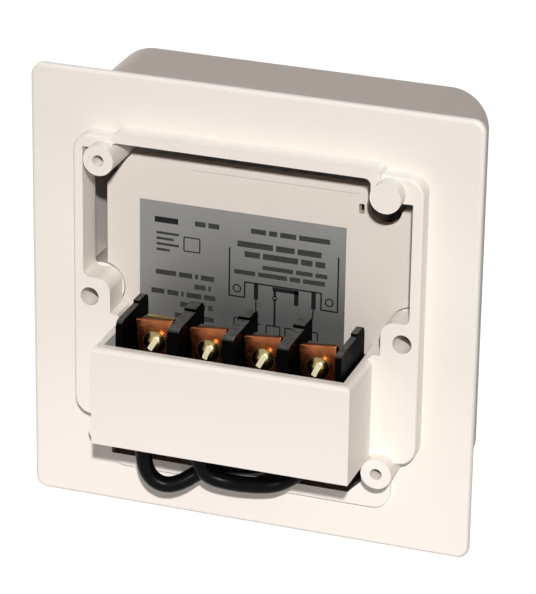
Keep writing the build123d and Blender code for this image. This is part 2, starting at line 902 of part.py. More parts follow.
# Dial knob: fluted grip pressed on the arbor
with BuildPart() as dial_knob:
    with BuildSketch(at(dial_front)) as grip:
        with Locations(dial_place):
            Circle(knob_radius)
            with PolarLocations(knob_radius + knob_flute_radius / 2, flute_count):
                Circle(knob_flute_radius, mode=Mode.SUBTRACT)
    extrude(amount=knob_rise)
    columns([dial_place], arbor_radius, dial_front, arbor_front, Mode.SUBTRACT)
    chamfer(dial_knob.faces().sort_by(Axis.Y)[0].edges(), knob_bevel)
dial_knob.part.label = "dial_knob"
export_step(dial_knob.part, "parts/dial_knob.step")

# Idler: large wheel driven by the motor, with the pinion that drives the dial gear
with BuildPart() as idler_gear:
    toothed_ring(
        idler_place,
        idler_teeth,
        idler_back,
        idler_front,
        motor_pinion_angle,
        idler_stud_radius + slip_fit,
    )
    toothed_ring(
        idler_place,
        pinion_teeth,
        idler_front,
        idler_front + pinion_thick,
        idler_angle + 180 + 180 / pinion_teeth,
        idler_stud_radius + slip_fit,
    )
idler_gear.part.label = "idler_gear"
export_step(idler_gear.part, "parts/idler_gear.step")

# Idler stud: fixed pin in the chassis
with BuildPart() as idler_stud:
    columns([idler_place], idler_stud_radius, chassis_back, idler_front + pinion_thick + seat_gap)
idler_stud.part.label = "idler_stud"
export_step(idler_stud.part, "parts/idler_stud.step")

# Motor can: drawn cup open towards the chassis
with BuildPart() as motor_can:
    columns([motor_place], motor_radius, motor_back, motor_cover_back)
    columns(
        [motor_place],
        motor_radius - motor_wall,
        motor_back + motor_wall,
        motor_cover_back,
        Mode.SUBTRACT,
    )
    columns([motor_place], rotor_pin_radius, motor_back + motor_wall, rotor_pin_front)
motor_can.part.label = "motor_can"
export_step(motor_can.part, "parts/motor_can.step")

# Motor cover: lid with two ears against the chassis and the output bush
with BuildPart() as motor_cover:
    columns([motor_place], motor_radius, motor_cover_back, chassis_back)
    with BuildSketch(at(motor_cover_back)) as ears:
        for place in motor_screw_places:
            with BuildLine():
                Polyline(motor_place, place)
            trace(line_width=2 * motor_ear_radius)
            with Locations(place):
                Circle(motor_ear_radius)
    extrude(ears.sketch, amount=motor_wall)
    columns([motor_pinion_place], output_bush_radius, chassis_back, chassis_front)
    columns(
        [motor_pinion_place],
        motor_shaft_radius + slip_fit,
        motor_cover_back,
        chassis_front,
        Mode.SUBTRACT,
    )
    columns(
        motor_screw_places,
        motor_screw_radius + slip_fit,
        motor_cover_back,
        chassis_back,
        Mode.SUBTRACT,
    )
motor_cover.part.label = "motor_cover"
export_step(motor_cover.part, "parts/motor_cover.step")

# Motor coil: ring winding on the wall of the can
with BuildPart() as motor_coil:
    columns([motor_place], coil_outer, coil_back, coil_front)
    columns([motor_place], coil_inner, coil_back, coil_front, Mode.SUBTRACT)
motor_coil.part.label = "motor_coil"
export_step(motor_coil.part, "parts/motor_coil.step")

# Motor rotor: magnet drum that turns on the can's centre pin
with BuildPart() as motor_rotor:
    columns([motor_place], rotor_radius, rotor_back, rotor_front)
    columns([motor_place], rotor_pin_radius + slip_fit, rotor_back, rotor_front, Mode.SUBTRACT)
motor_rotor.part.label = "motor_rotor"
export_step(motor_rotor.part, "parts/motor_rotor.step")

# Motor pinion: output shaft with its small wheel
with BuildPart() as motor_pinion:
    columns([motor_pinion_place], motor_shaft_radius, motor_shaft_back, idler_front)
    toothed_ring(
        motor_pinion_place,
        pinion_teeth,
        idler_back,
        idler_front,
        motor_pinion_angle + 180 + 180 / pinion_teeth,
        motor_shaft_radius,
    )
    columns([motor_pinion_place], motor_shaft_radius, idler_back, idler_front)
motor_pinion.part.label = "motor_pinion"
export_step(motor_pinion.part, "parts/motor_pinion.step")

# Motor screws: two through the ears into the chassis
with BuildPart() as motor_screws:
    columns(
        motor_screw_places,
        motor_screw_head,
        motor_cover_back - motor_screw_head_thick,
        motor_cover_back,
    )
    columns(motor_screw_places, motor_screw_radius, motor_cover_back, chassis_front)
motor_screws.part.label = "motor_screws"
export_step(motor_screws.part, "parts/motor_screws.step")

# Switch case: moulded box on the back of the chassis, open on one side
with BuildPart() as switch_case:
    slab(
        switch_left + switch_wall,
        switch_right,
        -switch_half_height,
        switch_half_height,
        switch_back,
        chassis_back,
    )
    slab(
        switch_left + switch_wall,
        switch_right - switch_wall,
        -switch_half_height + switch_wall,
        switch_half_height - switch_wall,
        switch_inner_back,
        switch_inner_front,
        mode=Mode.SUBTRACT,
    )
    columns(
        [plunger_place], plunger_hole_radius, switch_inner_front, chassis_back, Mode.SUBTRACT
    )
switch_case.part.label = "switch_case"
export_step(switch_case.part, "parts/switch_case.step")

# Switch cover: flat lid that closes the side of the switch case
with BuildPart() as switch_cover:
    slab(
        switch_left,
        switch_left + switch_wall,
        -switch_half_height,
        switch_half_height,
        switch_back,
        chassis_back,
    )
switch_cover.part.label = "switch_cover"
export_step(switch_cover.part, "parts/switch_cover.step")

# Switch terminals: fixed contact on its leg, and the post that carries the blade
blade_left = plunger_x - blade_width / 2
blade_right = plunger_x + blade_width / 2
with BuildPart() as switch_terminals:
    slab(
        blade_left,
        blade_right,
        contact_height - contact_button_radius,
        switch_half_height - switch_wall,
        contact_top - blade_thick,
        contact_top,
    )
    slab(
        blade_left,
        blade_right,
        switch_half_height - switch_wall - contact_leg_thick,
        switch_half_height - switch_wall,
        switch_inner_back,
        contact_top - blade_thick,
    )
    slab(
        blade_left,
        blade_right,
        -switch_half_height + switch_wall,
        -switch_half_height + switch_wall + contact_leg_thick,
        switch_inner_back,
        blade_back - slip_fit,
    )
switch_terminals.part.label = "switch_terminals"
export_step(switch_terminals.part, "parts/switch_terminals.step")

# Switch blade: spring strip with the moving contact button
with BuildPart() as switch_blade:
    slab(blade_left, blade_right, -switch_half_height + switch_wall + blade_end_play, blade_tip,
         blade_back, blade_front)
    columns(
        [(plunger_x, contact_height)],
        contact_button_radius,
        blade_back - contact_button_rise,
        blade_back,
    )
switch_blade.part.label = "switch_blade"
export_step(switch_blade.part, "parts/switch_blade.step")

# Switch plunger: collared pin between the lever and the blade
with BuildPart() as switch_plunger:
    columns([plunger_place], plunger_radius, blade_front + plunger_gap, plunger_front)
    columns(
        [plunger_place],
        plunger_collar_radius,
        switch_inner_front - slip_fit - plunger_collar_thick,
        switch_inner_front - slip_fit,
    )
switch_plunger.part.label = "switch_plunger"
export_step(switch_plunger.part, "parts/switch_plunger.step")

# Trip lever: follows the pressed pins and works the plunger
with BuildPart() as trip_lever:
    slab(lever_left, lever_right, lever_pivot, lever_tip, lever_back, lever_front)
    with BuildSketch(Plane.YZ.offset(lever_left)) as barrel:
        with Locations((-lever_depth, lever_pivot)):
            Circle(lever_barrel_radius)
    extrude(barrel.sketch, amount=lever_width)
    with BuildSketch(Plane.YZ.offset(lever_left)) as barrel_bore:
        with Locations((-lever_depth, lever_pivot)):
            Circle(lever_pin_radius + lever_pin_play)
    extrude(barrel_bore.sketch, amount=lever_width, mode=Mode.SUBTRACT)
    columns(
        [(lever_x, dial_height)],
        lever_follower_radius,
        lever_front,
        pin_back - pin_travel - follower_gap,
    )
trip_lever.part.label = "trip_lever"
export_step(trip_lever.part, "parts/trip_lever.step")

# Lever pin: hinge of the trip lever through the two chassis ears
with BuildPart() as lever_pin:
    with BuildSketch(Plane.YZ.offset(lever_ear_places[0])):
        with Locations((-lever_depth, lever_pivot)):
            Circle(lever_pin_radius)
    extrude(amount=lever_span)
lever_pin.part.label = "lever_pin"
export_step(lever_pin.part, "parts/lever_pin.step")

# Override slider: plate behind the case wall with its thumb button in the slot
with BuildPart() as override_slider:
    slab(
        slider_place[0] - slider_plate_width / 2,
        slider_place[0] + slider_plate_width / 2,
        slider_place[1] - slider_plate_height / 2,
        slider_place[1] + slider_plate_height / 2,
        slider_plate_back,
        slider_plate_front,
    )
    slab(
        slider_place[0] - slider_knob_size / 2,
        slider_place[0] + slider_knob_size / 2,
        slider_place[1] - slider_knob_size / 2,
        slider_place[1] + slider_knob_size / 2,
        slider_plate_front,
        case_front + slider_knob_rise,
    )
    chamfer(override_slider.faces().sort_by(Axis.Y)[0].edges(), slider_knob_bevel)
override_slider.part.label = "override_slider"
export_step(override_slider.part, "parts/override_slider.step")

# Slider spring: bowed strip that keeps the slider against the case wall
spring_reach = slider_plate_width / 2 - slider_travel
spring_top = slider_plate_back - slip_fit
with BuildPart() as slider_spring:
    with BuildSketch(Plane.XY.offset(slider_place[1] - slider_knob_size / 2)) as bow:
        with BuildLine():
            ThreePointArc(
                (slider_place[0] - spring_reach, -slider_table_front),
                (slider_place[0], -spring_top),
                (slider_place[0] + spring_reach, -slider_table_front),
            )
            Line(
                (slider_place[0] + spring_reach, -slider_table_front),
                (slider_place[0] + spring_reach - 2 * slider_spring_thick, -slider_table_front),
            )
            ThreePointArc(
                (slider_place[0] + spring_reach - 2 * slider_spring_thick, -slider_table_front),
                (slider_place[0], -spring_top + slider_spring_thick),
                (slider_place[0] - spring_reach + 2 * slider_spring_thick, -slider_table_front),
            )
            Line(
                (slider_place[0] - spring_reach + 2 * slider_spring_thick, -slider_table_front),
                (slider_place[0] - spring_reach, -slider_table_front),
            )
        make_face()
    extrude(amount=slider_knob_size)
slider_spring.part.label = "slider_spring"
export_step(slider_spring.part, "parts/slider_spring.step")

# Neon lens: clear red window flanged behind the case wall
with BuildPart() as neon_lens:
    columns([neon_place], neon_flange_radius, case_inner - neon_flange_thick, case_inner)
    columns([neon_place], neon_hole_radius - slip_fit, case_inner, case_front + neon_rise)
    fillet(neon_lens.faces().sort_by(Axis.Y)[0].edges(), neon_rise)
neon_lens.part.label = "neon_lens"
export_step(neon_lens.part, "parts/neon_lens.step")

# Neon lamp: glass bulb on its foot behind the lens
with BuildPart() as neon_lamp:
    columns([neon_place], neon_hole_radius, chassis_front, chassis_front + neon_foot)
    columns(
        [neon_place],
        neon_lamp_radius,
        chassis_front + neon_foot,
        chassis_front + neon_foot + neon_lamp_length,
    )
    fillet(neon_lamp.faces().sort_by(Axis.Y)[0].edges(), neon_lamp_round)
neon_lamp.part.label = "neon_lamp"
export_step(neon_lamp.part, "parts/neon_lamp.step")

# Case screws: two from the front through the case bosses into the long posts
with BuildPart() as case_screws:
    columns(screw_posts, case_head_radius, head_seat, head_seat + case_head_thick)
    columns(
        screw_posts, post_hole_radius - slip_fit, head_seat - case_screw_length, head_seat
    )
    for place in screw_posts:
        slab(
            place[0] - case_head_radius,
            place[0] + case_head_radius,
            place[1] - screw_recess_width / 2,
            place[1] + screw_recess_width / 2,
            head_seat + case_head_thick - screw_recess_depth,
            head_seat + case_head_thick,
            mode=Mode.SUBTRACT,
        )
case_screws.part.label = "case_screws"
export_step(case_screws.part, "parts/case_screws.step")

# Chassis screws: two from behind through the chassis into the case bosses
with BuildPart() as chassis_screws:
    columns(rest_posts, small_head_radius, chassis_back - small_head_thick, chassis_back)
    columns(
        rest_posts, small_shank_radius, chassis_back, chassis_front + chassis_screw_grip
    )
chassis_screws.part.label = "chassis_screws"
export_step(chassis_screws.part, "parts/chassis_screws.step")

# Module screws: three from the chassis into the bosses of the rear cover
with BuildPart() as module_screws:
    columns(
        module_screw_places, small_head_radius, chassis_front, chassis_front + small_head_thick
    )
    columns(
        module_screw_places, small_shank_radius, chassis_back - module_screw_grip, chassis_front
    )
module_screws.part.label = "module_screws"
export_step(module_screws.part, "parts/module_screws.step")

# Screw caps: four push-in discs over the screw wells and bores
with BuildPart() as screw_caps:
    columns(wells, well_radius - slip_fit, case_front - cap_sink, case_front + cap_rise)
    columns(screw_posts, screw_head_bore - slip_fit, case_front - cap_sink, case_front + cap_rise)
    fillet(screw_caps.faces().group_by(Axis.Y)[0].edges(), cap_round)
screw_caps.part.label = "screw_caps"
export_step(screw_caps.part, "parts/screw_caps.step")


def lead_radii(points):
    """Arc radius at each corner of a lead, as large as its two runs allow."""
    radii = []
    for before, corner, after in zip(points, points[1:], points[2:]):
        first = Vector(*corner) - Vector(*before)
        second = Vector(*after) - Vector(*corner)
        half_turn = radians(first.get_angle(second)) / 2
        radii.append(0.45 * min(first.length, second.length) / tan(half_turn))
    return radii


# Short lead: from the first way of the block round into the case
with BuildPart() as lead_short:
    with BuildLine() as short_path:
        FilletPolyline(*short_lead_route, radius=lead_radii(short_lead_route))
    with BuildSketch(Plane(origin=short_path.line @ 0, z_dir=short_path.line % 0)):
        Circle(lead_radius)
    sweep()
lead_short.part.label = "lead_short"
export_step(lead_short.part, "parts/lead_short.step")

# Long lead: from the second way of the block along the platform into the case
with BuildPart() as lead_long:
    with BuildLine() as long_path:
        FilletPolyline(*long_lead_route, radius=lead_radii(long_lead_route))
    with BuildSketch(Plane(origin=long_path.line @ 0, z_dir=long_path.line % 0)):
        Circle(lead_radius)
    sweep()
lead_long.part.label = "lead_long"
export_step(lead_long.part, "parts/lead_long.step")

# Lead tags: brass plates on the chassis where the leads end
with BuildPart() as lead_tags:
    for place in tag_places:
        slab(
            place[0] - tag_width / 2,
            place[0] + tag_width / 2,
            place[1] - tag_height / 2,
            place[1] + tag_height / 2,
            chassis_back - tag_thick,
            chassis_back,
        )
lead_tags.part.label = "lead_tags"
export_step(lead_tags.part, "parts/lead_tags.step")

for name, path, route in (
    ("short lead", short_path, short_lead_route),
    ("long lead", long_path, long_lead_route),
):
    print(name, "length", round(sum(edge.length for edge in path.edges()), 1))
    print(name, "radii", [round(radius, 1) for radius in lead_radii(route)])
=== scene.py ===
import json
from math import atan2, cos, pi, radians, sin
import bpy
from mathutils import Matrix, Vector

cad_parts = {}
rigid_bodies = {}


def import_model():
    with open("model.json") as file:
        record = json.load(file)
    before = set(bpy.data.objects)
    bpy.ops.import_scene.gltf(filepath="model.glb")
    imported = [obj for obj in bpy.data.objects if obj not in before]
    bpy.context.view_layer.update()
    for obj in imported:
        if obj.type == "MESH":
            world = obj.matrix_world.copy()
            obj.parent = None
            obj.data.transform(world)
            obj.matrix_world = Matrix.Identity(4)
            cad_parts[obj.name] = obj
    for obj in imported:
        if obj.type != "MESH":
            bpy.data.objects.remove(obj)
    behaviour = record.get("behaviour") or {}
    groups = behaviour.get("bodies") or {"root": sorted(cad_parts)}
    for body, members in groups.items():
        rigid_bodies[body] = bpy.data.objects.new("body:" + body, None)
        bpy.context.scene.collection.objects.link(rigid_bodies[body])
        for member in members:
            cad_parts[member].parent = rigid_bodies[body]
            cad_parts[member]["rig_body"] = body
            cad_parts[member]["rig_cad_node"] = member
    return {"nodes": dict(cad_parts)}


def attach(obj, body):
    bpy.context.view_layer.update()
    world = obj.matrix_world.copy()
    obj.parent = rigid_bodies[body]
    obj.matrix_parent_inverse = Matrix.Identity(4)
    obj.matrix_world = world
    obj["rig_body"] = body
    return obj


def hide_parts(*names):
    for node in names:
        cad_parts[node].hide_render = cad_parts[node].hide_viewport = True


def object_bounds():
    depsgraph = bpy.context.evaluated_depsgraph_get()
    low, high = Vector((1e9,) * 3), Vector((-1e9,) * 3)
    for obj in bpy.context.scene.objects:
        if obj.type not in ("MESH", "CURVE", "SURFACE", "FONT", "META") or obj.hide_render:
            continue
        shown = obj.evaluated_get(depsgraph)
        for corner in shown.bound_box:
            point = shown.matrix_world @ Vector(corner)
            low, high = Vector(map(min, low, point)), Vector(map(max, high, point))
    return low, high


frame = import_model()
cad_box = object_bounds()
mm = 0.001

# Camera and studio. The view looks at the wiring side from above and a little to the right of
# it, through a long lens. A sheet of white card lies under the plate. A small lamp high on the
# right throws the shadows, and two weak ones fill from the wiring side and from the dial side.
camera_place = (-190.0 * mm, 544.2 * mm, 253.4 * mm)
camera_turn = (radians(66.532), radians(-0.812), radians(-160.722))
camera_lens = 208.7
bpy.ops.object.select_all(action="DESELECT")
bpy.ops.object.camera_add(location=camera_place, rotation=camera_turn)
camera = bpy.context.object
camera.name = "camera"
camera.data.lens = camera_lens
camera.data.clip_start = 0.01
bpy.context.scene.camera = camera
bpy.context.scene.view_settings.view_transform = "Standard"


def node_tree(material):
    """Empties a material and returns its nodes, its links and a new output."""
    material.use_nodes = True
    nodes = material.node_tree.nodes
    nodes.clear()
    return nodes, material.node_tree.links, nodes.new("ShaderNodeOutputMaterial")


def seen_ray(nodes, links):
    """1 for rays that show a background: straight from the camera, or by way of gloss or glass."""
    path = nodes.new("ShaderNodeLightPath")
    first = nodes.new("ShaderNodeMath")
    first.operation = "MAXIMUM"
    links.new(path.outputs["Is Camera Ray"], first.inputs[0])
    links.new(path.outputs["Is Glossy Ray"], first.inputs[1])
    both = nodes.new("ShaderNodeMath")
    both.operation = "MAXIMUM"
    links.new(first.outputs[0], both.inputs[0])
    links.new(path.outputs["Is Transmission Ray"], both.inputs[1])
    return both.outputs[0]


card_glow = 0.8
card_colour = (0.45, 0.45, 0.45, 1)
card_size = 4.0
card_drop = 0.05 * mm
card = bpy.data.materials.new("white_card")
nodes, links, output = node_tree(card)
diffuse = nodes.new("ShaderNodeBsdfDiffuse")
diffuse.inputs["Color"].default_value = card_colour
glow = nodes.new("ShaderNodeEmission")
strength = nodes.new("ShaderNodeMath")
strength.operation = "MULTIPLY"
strength.inputs[1].default_value = card_glow
links.new(seen_ray(nodes, links), strength.inputs[0])
links.new(strength.outputs[0], glow.inputs["Strength"])
both = nodes.new("ShaderNodeAddShader")
links.new(diffuse.outputs[0], both.inputs[0])
links.new(glow.outputs[0], both.inputs[1])
links.new(both.outputs[0], output.inputs["Surface"])
bpy.ops.object.select_all(action="DESELECT")
bpy.ops.mesh.primitive_plane_add(size=card_size, location=(0, 0, cad_box[0][2] - card_drop))
floor = bpy.context.object
floor.name = "floor"
floor.data.materials.append(card)

room_fill = 0.06
room_colour = (1.0, 0.965, 0.92, 1)
world = bpy.data.worlds.new("studio")
bpy.context.scene.world = world
world.use_nodes = True
nodes = world.node_tree.nodes
links = world.node_tree.links
nodes.clear()
output = nodes.new("ShaderNodeOutputWorld")
room = nodes.new("ShaderNodeBackground")
room.inputs["Color"].default_value = room_colour
level = nodes.new("ShaderNodeMapRange")
level.inputs["To Min"].default_value = room_fill
level.inputs["To Max"].default_value = 1.0
links.new(seen_ray(nodes, links), level.inputs["Value"])
links.new(level.outputs["Result"], room.inputs["Strength"])
links.new(room.outputs[0], output.inputs["Surface"])


def soft_box(name, place, size, power, colour, aim=(0, 0, 0)):
    """Square lamp at a place, turned towards a point."""
    bpy.ops.object.select_all(action="DESELECT")
    bpy.ops.object.light_add(type="AREA", location=place)
    lamp = bpy.context.object
    lamp.name = name
    lamp.data.size = size
    lamp.data.energy = power
    lamp.data.color = colour
    way = [a - b for a, b in zip(place, aim)]
    flat = (way[0] ** 2 + way[1] ** 2) ** 0.5
    lamp.rotation_euler = (atan2(flat, way[2]), 0, atan2(way[1], way[0]) + pi / 2)
    return lamp


soft_box(
    "key_lamp",
    place=(-0.45, 1.21, 0.82),
    size=0.05,
    power=22.5,
    colour=(1.0, 0.985, 0.965),
)
soft_box(
    "side_lamp",
    place=(-0.05, 0.75, 0.02),
    size=0.25,
    power=0.35,
    colour=(1.0, 0.97, 0.93),
)
soft_box(
    "front_lamp",
    place=(0.85, -0.5, 0.10),
    size=0.4,
    power=7.0,
    colour=(1.0, 0.98, 0.95),
)

# Link leads. Two lengths of black insulated wire leave through holes in the floor of the terminal
# trough, loop under it and go back through the window of the plate into the case.
lead_thick = 3.1 * mm
block_bottom = -21.4
short_route = [
    (18.4, 7.0, block_bottom),
    (18.4, 7.0, -28.6),
    (17.2, 7.2, -32.9),
    (14.2, 6.8, -34.7),
    (11.0, 5.8, -33.9),
    (8.3, 4.0, -32.0),
    (5.0, 3.0, -30.9),
    (0.5, 2.8, -30.2),
    (-3.4, 2.3, -29.9),
    (-4.8, -1.6, -29.2),
    (-3.4, -7.6, -28.2),
    (-2.4, -11.0, -28.2),
    (-2.4, -17.0, -28.2),
]
long_route = [
    (7.3, 7.5, block_bottom),
    (7.3, 7.5, -27.6),
    (5.6, 7.3, -30.9),
    (1.6, 6.3, -32.0),
    (-3.0, 6.1, -31.9),
    (-7.8, 5.6, -31.2),
    (-10.8, 2.9, -29.5),
    (-12.4, -1.5, -28.9),
    (-13.6, -6.5, -29.3),
    (-14.0, -11.0, -29.6),
    (-14.0, -17.0, -29.6),
]


def finish_nodes(material, colour, roughness, metallic=0.0):
    """Shader with a fixed colour, and the coordinates of the piece it covers."""
    nodes, links, output = node_tree(material)
    shader = nodes.new("ShaderNodeBsdfPrincipled")
    shader.inputs["Base Color"].default_value = (*colour, 1)
    shader.inputs["Roughness"].default_value = roughness
    shader.inputs["Metallic"].default_value = metallic
    links.new(shader.outputs[0], output.inputs["Surface"])
    place = nodes.new("ShaderNodeTexCoord")
    return nodes, links, shader, place.outputs["Object"]


def noise_of(nodes, links, place, size, detail=3.0, stretch=None):
    """Noise with features of about one size in millimetres, drawn out along one axis if asked."""
    noise = nodes.new("ShaderNodeTexNoise")
    noise.inputs["Scale"].default_value = 1 / (size * mm)
    noise.inputs["Detail"].default_value = detail
    if stretch:
        draw = nodes.new("ShaderNodeMapping")
        draw.inputs["Scale"].default_value = stretch
        links.new(place, draw.inputs["Vector"])
        place = draw.outputs["Vector"]
    links.new(place, noise.inputs["Vector"])
    return noise.outputs["Fac"]


def shade_between(nodes, links, factor, dark, light, socket):
    """Colour that wanders between two shades with a factor."""
    mix = nodes.new("ShaderNodeMix")
    mix.data_type = "RGBA"
    mix.inputs["A"].default_value = (*dark, 1)
    mix.inputs["B"].default_value = (*light, 1)
    links.new(factor, mix.inputs["Factor"])
    links.new(mix.outputs["Result"], socket)


def vary(nodes, links, factor, low, high, socket):
    """Number that wanders between two values with a factor."""
    span = nodes.new("ShaderNodeMapRange")
    span.inputs["To Min"].default_value = low
    span.inputs["To Max"].default_value = high
    links.new(factor, span.inputs["Value"])
    links.new(span.outputs["Result"], socket)


def relief(nodes, links, height, depth, shader):
    """Fine bump of a depth in millimetres."""
    bump = nodes.new("ShaderNodeBump")
    bump.inputs["Strength"].default_value = 1.0
    bump.inputs["Distance"].default_value = depth * mm
    links.new(height, bump.inputs["Height"])
    links.new(bump.outputs["Normal"], shader.inputs["Normal"])


cloud_size = 14.0
sheen_size = 5.0
sheen_spread = 0.07


def moulded(name, colour, roughness, grain, depth, spread=0.03):
    """Injection moulded plastic: slight clouding, uneven gloss and a fine spark-eroded grain."""
    material = bpy.data.materials.new(name)
    nodes, links, shader, place = finish_nodes(material, colour, roughness)
    dark = [c * (1 - spread) for c in colour]
    light = [min(1.0, c * (1 + spread)) for c in colour]
    cloud = noise_of(nodes, links, place, cloud_size)
    shade_between(nodes, links, cloud, dark, light, shader.inputs["Base Color"])
    sheen = noise_of(nodes, links, place, sheen_size)
    dull = roughness + sheen_spread
    vary(nodes, links, sheen, roughness - sheen_spread, dull, shader.inputs["Roughness"])
    relief(nodes, links, noise_of(nodes, links, place, grain), depth, shader)
    return material


def parts_of(material):
    """Nodes, links, shader and coordinates of a material that is made already."""
    tree = material.node_tree
    shader = next(node for node in tree.nodes if node.type == "BSDF_PRINCIPLED")
    place = next(node for node in tree.nodes if node.type == "TEX_COORD")
    return tree.nodes, tree.links, shader, place.outputs["Object"]


black_sleeve = moulded("black_sleeve", (0.002, 0.002, 0.0023), 0.3, 0.5, 0.012, 0.25)
nodes, links, shader, place = parts_of(black_sleeve)
shader.inputs["Specular IOR Level"].default_value = 0.07


def lead_along(name, node, route):
    """Wire on one smooth line through the points of its route."""
    line = bpy.data.curves.new(name, "CURVE")
    line.dimensions = "3D"
    spline = line.splines.new("NURBS")
    spline.points.add(len(route) - 1)
    for point, (x, y, z) in zip(spline.points, route):
        point.co = (x * mm, y * mm, z * mm, 1)
    spline.order_u = 3
    spline.use_endpoint_u = True
    spline.resolution_u = 12
    line.bevel_depth = lead_thick / 2
    line.bevel_resolution = 8
    line.use_fill_caps = True
    line.materials.append(black_sleeve)
    lead = bpy.data.objects.new(name, line)
    bpy.context.scene.collection.objects.link(lead)
    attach(lead, "housing")
    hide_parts(node)


lead_along("link_lead_short", "lead_short", short_route)
lead_along("link_lead_long", "lead_long", long_route)

# Wall plate. One moulding in cream-white urea: the square plate, the raised rim with its side
# pads, the corner posts, the low platform and the terminal trough. Its edges are broken by a
# small radius, as they come out of the tool.
plate_edge = 0.35
trough_top = -3.95
trough_round = 1.0
trough_back_edge = 16.5
trough_side_edge = 24.5


def show_only(piece):
    """Selects one object and makes it the active one."""
    bpy.ops.object.select_all(action="DESELECT")
    piece.select_set(True)
    bpy.context.view_layer.objects.active = piece


def break_edges(piece, radius, segments=3, smooth=32):
    """Rounds the sharp edges of a piece and shades it smooth between them."""
    show_only(piece)
    bevel = piece.modifiers.new("edges", "BEVEL")
    bevel.width = radius * mm
    bevel.segments = segments
    bevel.limit_method = "ANGLE"
    bevel.angle_limit = radians(30)
    bevel.use_clamp_overlap = True
    bevel.miter_outer = "MITER_ARC"
    bpy.ops.object.modifier_apply(modifier=bevel.name)
    bpy.ops.object.shade_smooth_by_angle(angle=radians(smooth))
    flat = piece.modifiers.new("flat_faces", "WEIGHTED_NORMAL")
    flat.keep_sharp = True
    flat.weight = 100
    bpy.ops.object.modifier_apply(modifier=flat.name)


def finish_piece(piece, material, slot, body, *nodes):
    """Gives a piece its finish, its body and the CAD nodes that it stands for."""
    piece.data.materials.clear()
    piece.data.materials.append(material)
    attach(piece, body)
    if nodes:
        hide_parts(*nodes)


def round_trough(piece):
    """Rounds the outer edges along the top of the trough more than the others."""
    for edge in piece.data.edges:
        ends = [piece.data.vertices[index].co for index in edge.vertices]
        level = all(abs(end.z - trough_top * mm) < 0.02 * mm for end in ends)
        raised = all(end.y > 2 * mm for end in ends)
        at_back = all(end.y > trough_back_edge * mm for end in ends)
        at_side = all(abs(end.x) > trough_side_edge * mm for end in ends)
        edge.select = level and raised and (at_back or at_side)
    bpy.ops.object.mode_set(mode="EDIT")
    bpy.ops.mesh.bevel(offset=trough_round * mm, segments=5, affect="EDGES")
    bpy.ops.object.mode_set(mode="OBJECT")


def soft_edged(name, node, radius, material, slot, segments=3, before=None):
    """Welded copy of a moulded piece with its edges rounded, in the place of the sharp one."""
    sharp = frame["nodes"][node]
    body = sharp["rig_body"]
    piece = sharp.copy()
    piece.data = sharp.data.copy()
    piece.name = name
    piece.parent = None
    del piece["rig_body"]
    del piece["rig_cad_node"]
    bpy.context.scene.collection.objects.link(piece)
    show_only(piece)
    bpy.ops.mesh.customdata_custom_splitnormals_clear()
    bpy.ops.object.mode_set(mode="EDIT")
    bpy.ops.mesh.select_all(action="SELECT")
    bpy.ops.mesh.remove_doubles(threshold=0.002 * mm)
    bpy.ops.mesh.dissolve_limited(angle_limit=radians(0.6))
    bpy.ops.mesh.select_mode(type="EDGE")
    bpy.ops.mesh.select_all(action="DESELECT")
    bpy.ops.object.mode_set(mode="OBJECT")
    if before:
        before(piece)
    break_edges(piece, radius, segments)
    finish_piece(piece, material, slot, body, node)
    return piece


def facing(nodes, links, axis, low, high):
    """Rises from 0 to 1 as a face turns towards an axis."""
    lie = nodes.new("ShaderNodeNewGeometry")
    parts = nodes.new("ShaderNodeSeparateXYZ")
    links.new(lie.outputs["Normal"], parts.inputs[0])
    share = nodes.new("ShaderNodeMapRange")
    share.inputs["From Min"].default_value = low
    share.inputs["From Max"].default_value = high
    links.new(parts.outputs[axis], share.inputs["Value"])
    return share.outputs["Result"]


def tint_by(nodes, links, factor, shader, colour):
    """Blends the colour that a shader has already towards another one."""
    mix = nodes.new("ShaderNodeMix")
    mix.data_type = "RGBA"
    links.new(shader.inputs["Base Color"].links[0].from_socket, mix.inputs["A"])
    mix.inputs["B"].default_value = (*colour, 1)
    links.new(factor, mix.inputs["Factor"])
    links.new(mix.outputs["Result"], shader.inputs["Base Color"])


def along(nodes, links, place, axis, start, end):
    """Rises from 0 to 1 between two distances in millimetres along an axis."""
    spot = nodes.new("ShaderNodeSeparateXYZ")
    links.new(place, spot.inputs[0])
    span = nodes.new("ShaderNodeMapRange")
    span.inputs["From Min"].default_value = start * mm
    span.inputs["From Max"].default_value = end * mm
    links.new(spot.outputs[axis], span.inputs["Value"])
    return span.outputs["Result"]


def both_of(nodes, links, one, other):
    """Product of two factors."""
    product = nodes.new("ShaderNodeMath")
    product.operation = "MULTIPLY"
    links.new(one, product.inputs[0])
    links.new(other, product.inputs[1])
    return product.outputs[0]


def darken_hollow(material, level, colour):
    """Painted shade on the faces of a material that look up below a level."""
    nodes, links, shader, place = parts_of(material)
    up = facing(nodes, links, "Z", 0.3, 0.8)
    below = along(nodes, links, place, "Z", level, level - 0.5)
    tint_by(nodes, links, both_of(nodes, links, up, below), shader, colour)
